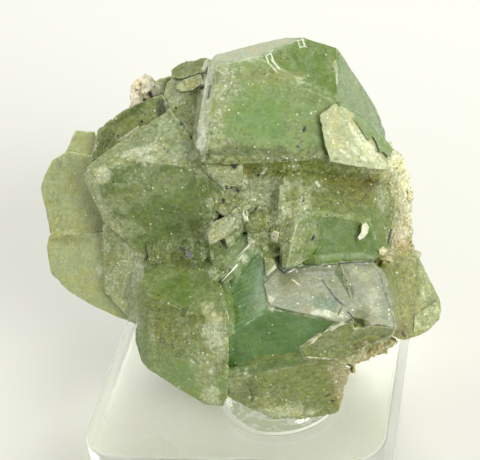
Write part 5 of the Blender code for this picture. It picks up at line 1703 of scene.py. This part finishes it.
# %% The skin of the stone
FROST_WHITE = (*srgb(0.88, 0.90, 0.80), 1.0)
GLINT_WHITE = (*srgb(0.97, 0.98, 0.90), 1.0)
SPECK_BLACK = (*srgb(0.12, 0.12, 0.05), 1.0)
WARM_CLOUD = (1.06, 1.01, 0.80, 1.0)
COOL_CLOUD = (0.93, 0.98, 0.92, 1.0)
PIT_SHADE = (0.50, 0.50, 0.34, 1.0)


def times_plus(tree, value, factor, offset):
    made = maths(tree, "MULTIPLY_ADD", value, factor)
    if isinstance(offset, bpy.types.NodeSocket):
        tree.links.new(offset, made.node.inputs[2])
    else:
        made.node.inputs[2].default_value = offset
    return made


def growth_lines(tree):
    """Fine lines along the face, 0.5 on average, and how strong they are there."""
    found = add_node(tree, "Attribute", attribute_name="lines").outputs["Vector"]
    parts = add_node(tree, "SeparateXYZ", {0: found}).outputs
    run = add_node(tree, "CombineXYZ", {0: maths(tree, "MULTIPLY", parts[0], 0.10), 1: parts[1]}).outputs[0]
    inputs = {"Vector": run, "Scale": 3.2, "Detail": 3.0, "Roughness": 0.6}
    return add_node(tree, "TexNoise", inputs).outputs[0], parts[2]


def skin_colour(tree, place, veil_scale):
    """The painted colour with clouds, grain, pits, frost, veils, specks and glints; also the mottle."""
    mottle = use_group(tree, MOTTLE, {"Place": place, "Clouds per mm": 0.55, "Grains per mm": 4.4})
    etch, frost = painted(tree, "etch"), painted(tree, "frost")
    warm = rise(tree, mottle["Clouds"], 0.42, 0.64)
    hue = mix_colours(tree, warm, COOL_CLOUD, WARM_CLOUD)
    colour = mix_colours(tree, 1.0, painted(tree, "tint"), hue, "MULTIPLY")
    grain = maths(tree, "ADD", maths(tree, "MULTIPLY", mottle["Grain"], 1.3), mottle["Sugar"])
    grain = maths(tree, "SUBTRACT", grain, 1.15)
    tone = maths(tree, "MULTIPLY", grain, times_plus(tree, etch, 0.90, 0.20))
    lines, strength = growth_lines(tree)
    lined = maths(tree, "MULTIPLY", maths(tree, "SUBTRACT", lines, 0.5), strength)
    tone = maths(tree, "ADD", tone, times_plus(tree, lined, 1.5, 1.0))
    shade = add_node(tree, "CombineColor", {0: tone, 1: tone, 2: tone}).outputs[0]
    colour = mix_colours(tree, 1.0, colour, shade, "MULTIPLY")
    low = rise(tree, mottle["Grain"], 0.46, 0.36)
    pits = maths(tree, "MULTIPLY", low, maths(tree, "MULTIPLY", etch, 1.1), clamp=True)
    colour = mix_colours(tree, pits, colour, mix_colours(tree, 1.0, colour, PIT_SHADE, "MULTIPLY"))
    flecks = rise(tree, maths(tree, "ADD", mottle["Sugar"], frost), 0.95, 1.25)
    flecks = maths(tree, "MULTIPLY", flecks, rise(tree, mottle["Grain"], 0.45, 0.6))
    veils = use_group(tree, VEILS, {"Place": place, "Veils per mm": veil_scale, "Width": 0.06})["Mask"]
    veils = maths(tree, "MULTIPLY", veils, times_plus(tree, frost, 0.35, 0.06))
    flecks = maths(tree, "ADD", maths(tree, "MULTIPLY", flecks, 0.42), maths(tree, "MULTIPLY", frost, 0.10))
    white = maths(tree, "ADD", flecks, veils, clamp=True)
    colour = mix_colours(tree, white, colour, FROST_WHITE)
    share = maths(tree, "MULTIPLY", painted(tree, "specks"), 0.45)
    specks = use_group(tree, DOTS, {"Place": place, "Cells per mm": 1.6, "Share": share, "Size": 0.09})
    colour = mix_colours(tree, specks["Mask"], colour, SPECK_BLACK)
    # Glints: white dots painted into the colour, painted highlights where tiny facets would catch the light.
    share = maths(tree, "MULTIPLY", painted(tree, "sparkle"), 0.5)
    glints = use_group(tree, DOTS, {"Place": place, "Cells per mm": 2.4, "Share": share, "Size": 0.08})
    colour = mix_colours(tree, maths(tree, "MULTIPLY", glints["Mask"], 0.8), colour, GLINT_WHITE)
    return colour, mottle, lined


# %% The crystal material
def crystal_material(name, clear, inside):
    """A finish of painted herderite: how much light goes through, and how much scatters inside."""
    finish, tree, shader = new_finish(name)
    place = stone_millimetres(tree)
    colour, mottle, lined = skin_colour(tree, place, 0.55)
    tree.links.new(colour, shader.inputs["Base Color"])
    gloss = painted(tree, "gloss")
    rough = maths(tree, "SUBTRACT", 0.55, maths(tree, "MULTIPLY", gloss, 0.45))
    rough = maths(tree, "ADD", rough, maths(tree, "MULTIPLY", mottle["Grain"], 0.12))
    tree.links.new(rough, shader.inputs["Roughness"])
    height = maths(tree, "MULTIPLY", mottle["Grain"], maths(tree, "ADD", painted(tree, "etch"), 0.12))
    height = maths(tree, "ADD", height, maths(tree, "MULTIPLY", lined, 0.6))
    bump = add_node(tree, "Bump", {"Height": height, "Strength": 0.6, "Distance": 0.12 * MM})
    tree.links.new(bump.outputs[0], shader.inputs["Normal"])
    shader.inputs["IOR"].default_value = 1.60
    shader.inputs["Transmission Weight"].default_value = clear
    shader.inputs["Subsurface Weight"].default_value = inside
    shader.inputs["Subsurface Radius"].default_value = (0.8, 1.0, 0.6)
    shader.inputs["Subsurface Scale"].default_value = 1.0 * MM
    return finish


crystals.data.materials.append(crystal_material("herderite_finish", 0.22, 0.45))
small_finish = crystal_material("herderite_small_finish", 0.0, 0.0)
for small_part in (joint_fills, splinters, seam_grains):
    small_part.data.materials.append(small_finish)


# %% The feldspar material
def feldspar_material():
    finish, tree, shader = new_finish("feldspar_finish")
    place = stone_millimetres(tree)
    colour, mottle, _ = skin_colour(tree, place, 0.8)
    tree.links.new(colour, shader.inputs["Base Color"])
    tree.links.new(rise(tree, mottle["Grain"], 0.3, 0.7, 0.55, 0.85), shader.inputs["Roughness"])
    bump = add_node(tree, "Bump", {"Height": mottle["Grain"], "Strength": 0.8, "Distance": 0.2 * MM})
    tree.links.new(bump.outputs[0], shader.inputs["Normal"])
    shader.inputs["Subsurface Weight"].default_value = 0.15
    shader.inputs["Subsurface Radius"].default_value = (1.0, 0.8, 0.6)
    shader.inputs["Subsurface Scale"].default_value = 0.6 * MM
    return finish


feldspar_finish = feldspar_material()
feldspar.data.materials.append(feldspar_finish)
for small_part in (rock_splinters, rim_crumbs):
    small_part.data.materials.append(feldspar_finish)

# %% [markdown]
# ## The clear pad and the clear base
# Both are cast clear plastic. The imported solids are coarse rings, so they are turned and rounded again at
# the same size with many more steps: a smooth curve is what makes the bright bent lines at their rims.
# Clear plastic is plain glass to a shader: full transmission, an index of 1.49 and almost no roughness.
#
# Three places differ. The saw dulled the base's edges, so they are rougher and let less light through. The
# pad's rim is rougher, paler and less clear too, a painted highlight for the bright line its curve bends,
# reaching higher on the left where that line is widest. The pad sticks flat to the base, so its underside
# bends no light.
# The underside carries a green cast with clear wavy streaks, a stand-in for the stone mirrored in it.

# %% The round pad: rings of (share of the radius, share of the height)
PAD_STEPS = 192
PAD_FLOOR_WIDE = 0.97
PAD_FLOOR_RINGS = 48
PAD_CURVE_STEPS = 5
LEVEL_FACE = 0.999
PAD_FLOOR = [(PAD_FLOOR_WIDE * ring / PAD_FLOOR_RINGS, 0.0) for ring in range(1, PAD_FLOOR_RINGS)]
PAD_RINGS = [
    (PAD_FLOOR_WIDE, 0.0), (1.0, 0.06), (1.0, 0.22), (0.96, 0.42),
    (0.87, 0.63), (0.72, 0.81), (0.52, 0.93), (0.28, 1.0),
]


def finished(name, shape):
    """A turned or rounded shape as an object, smooth but for its level faces."""
    mesh = bpy.data.meshes.new(name)
    shape.to_mesh(mesh)
    shape.free()
    mesh.polygons.foreach_set("use_smooth", [abs(face.normal.z) < LEVEL_FACE for face in mesh.polygons])
    return link(bpy.data.objects.new(name, mesh))


def smooth_profile(corners, steps):
    """A smooth run through (radius, height) corners."""
    found = []
    for number in range(len(corners) - 1):
        before = Vector(corners[max(number - 1, 0)])
        start, end = Vector(corners[number]), Vector(corners[number + 1])
        after = Vector(corners[min(number + 2, len(corners) - 1)])
        for step in range(steps):
            share = step / steps
            curve = 2 * start + (end - before) * share
            curve += (2 * before - 5 * start + 4 * end - after) * share ** 2
            curve += (3 * start - before - 3 * end + after) * share ** 3
            found.append(curve / 2)
    return found + [Vector(corners[-1])]


def make_pad():
    low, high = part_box("clear_pad")
    centre = (Vector(low) + Vector(high)) / 2
    radius = (high[0] - low[0]) / 2
    shape = bmesh.new()
    rings = []
    for wide, level in PAD_FLOOR + smooth_profile(PAD_RINGS, PAD_CURVE_STEPS):
        height = low[2] + (high[2] - low[2]) * level
        rings.append([
            shape.verts.new((
                centre.x + radius * wide * math.cos(math.tau * step / PAD_STEPS),
                centre.y + radius * wide * math.sin(math.tau * step / PAD_STEPS),
                height,
            ))
            for step in range(PAD_STEPS)
        ])
    ring_faces(shape, rings)
    return finished("round_pad", shape)


pad = make_pad()
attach(pad, "root")
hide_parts("clear_pad")

# %% The square base
BASE_CORNER = 4.3 * MM
BASE_EASE = 0.35 * MM
BASE_STEPS = 24
EASE_STEPS = 5


def rounded_square(half, corner, steps):
    """(x, y) round a square with rounded corners."""
    found = []
    for turn in range(4):
        side_x = 1 if turn in (0, 3) else -1
        side_y = 1 if turn in (0, 1) else -1
        for step in range(steps + 1):
            angle = math.tau / 4 * (turn + step / steps)
            found.append((
                side_x * (half - BASE_CORNER) + corner * math.cos(angle),
                side_y * (half - BASE_CORNER) + corner * math.sin(angle),
            ))
    return found


def make_base():
    low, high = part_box("acrylic_base")
    half = high[0]
    shape = bmesh.new()
    turns = [math.tau / 4 * step / EASE_STEPS for step in range(EASE_STEPS + 1)]
    eased = [(BASE_EASE * (1.0 - math.cos(turn)), BASE_EASE * (1.0 - math.sin(turn))) for turn in turns]
    levels = [(low[2] + rise_from, inset) for inset, rise_from in reversed(eased)]
    levels += [(high[2] - drop, inset) for inset, drop in eased]
    rings = [
        [shape.verts.new((x, y, level)) for x, y in rounded_square(half, BASE_CORNER - inset, BASE_STEPS)]
        for level, inset in levels
    ]
    ring_faces(shape, rings)
    bmesh.ops.recalc_face_normals(shape, faces=shape.faces[:])
    return finished("display_base", shape)


base = make_base()
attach(base, "root")
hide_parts("acrylic_base")


# %% The clear material
def let_lamps_through(finish, colour):
    """Lamps reach through the clear plastic, so what stands under it isn't left in a false shadow."""
    tree = finish.node_tree
    surface = tree.nodes["Principled BSDF"].outputs[0]
    lamp_ray = add_node(tree, "LightPath").outputs["Is Shadow Ray"]
    through = add_node(tree, "BsdfTransparent", {"Color": (*colour, 1.0)}).outputs[0]
    either = add_node(tree, "MixShader", {0: lamp_ray, 1: surface, 2: through}).outputs[0]
    tree.links.new(either, tree.nodes["Material Output"].inputs["Surface"])


def clear_material(name, colour, roughness, bending=1.49, clear=1.0):
    """Clear plastic. Where the saw dulled it, or the pad's rim is painted pale as a highlight, less light
    passes.
    """
    finish, _, shader = new_finish(name)
    shader.inputs["Base Color"].default_value = (*colour, 1.0)
    shader.inputs["Roughness"].default_value = roughness
    shader.inputs["IOR"].default_value = bending
    shader.inputs["Transmission Weight"].default_value = clear
    let_lamps_through(finish, colour)
    return finish


# The faces of the rim, painted pale as a highlight, are those that look less than this far up; on the left,
# where the bright line is widest, they reach further up.
RIM_LOOK = 0.22
RIM_LEFT_FROM = 0.2
STREAK_WIDTH = 0.08
STREAKS_PER_MM = (0.22, 0.75)
STREAK_SLICE = 3.0
GREEN_CAST = (0.60, 0.72, 0.46)
DULLED_EDGE_AND_RIM_HIGHLIGHT = (0.93, 0.95, 0.86)
CLEAR = (0.98, 0.99, 0.97)
PAD_CLEAR, PAD_STREAK, PAD_BRIGHT_RIM, PAD_CAST = range(4)
pad.data.materials.append(clear_material("clear_resin_finish", CLEAR, 0.06))
pad.data.materials.append(clear_material("wetted_finish", (1.0, 1.0, 1.0), 0.0, 1.0))
pad.data.materials.append(clear_material("pale_rim_highlight_finish", DULLED_EDGE_AND_RIM_HIGHLIGHT, 0.35, clear=0.30))
pad.data.materials.append(clear_material("green_cast_finish", GREEN_CAST, 0.0, 1.0))
for face in pad.data.polygons:
    if face.normal.z < -LEVEL_FACE:
        across, along = face.center.x / MM * STREAKS_PER_MM[0], face.center.y / MM * STREAKS_PER_MM[1]
        wave = noise.fractal(Vector((across, along, STREAK_SLICE)), 0.9, 2.1, 3)
        face.material_index = PAD_STREAK if abs(wave) < STREAK_WIDTH else PAD_CAST
    else:
        look = RIM_LOOK + max(0.0, -face.normal.x - RIM_LEFT_FROM)
        face.material_index = PAD_BRIGHT_RIM if abs(face.normal.z) < look else PAD_CLEAR
base.data.materials.append(clear_material("acrylic_finish", (0.99, 0.998, 0.98), 0.01))
base.data.materials.append(clear_material("sawn_edge_finish", DULLED_EDGE_AND_RIM_HIGHLIGHT, 0.25, clear=0.65))
for face in base.data.polygons:
    face.material_index = int(abs(face.normal.z) < LEVEL_FACE)
print("clear parts:", len(pad.data.polygons), "and", len(base.data.polygons), "faces")
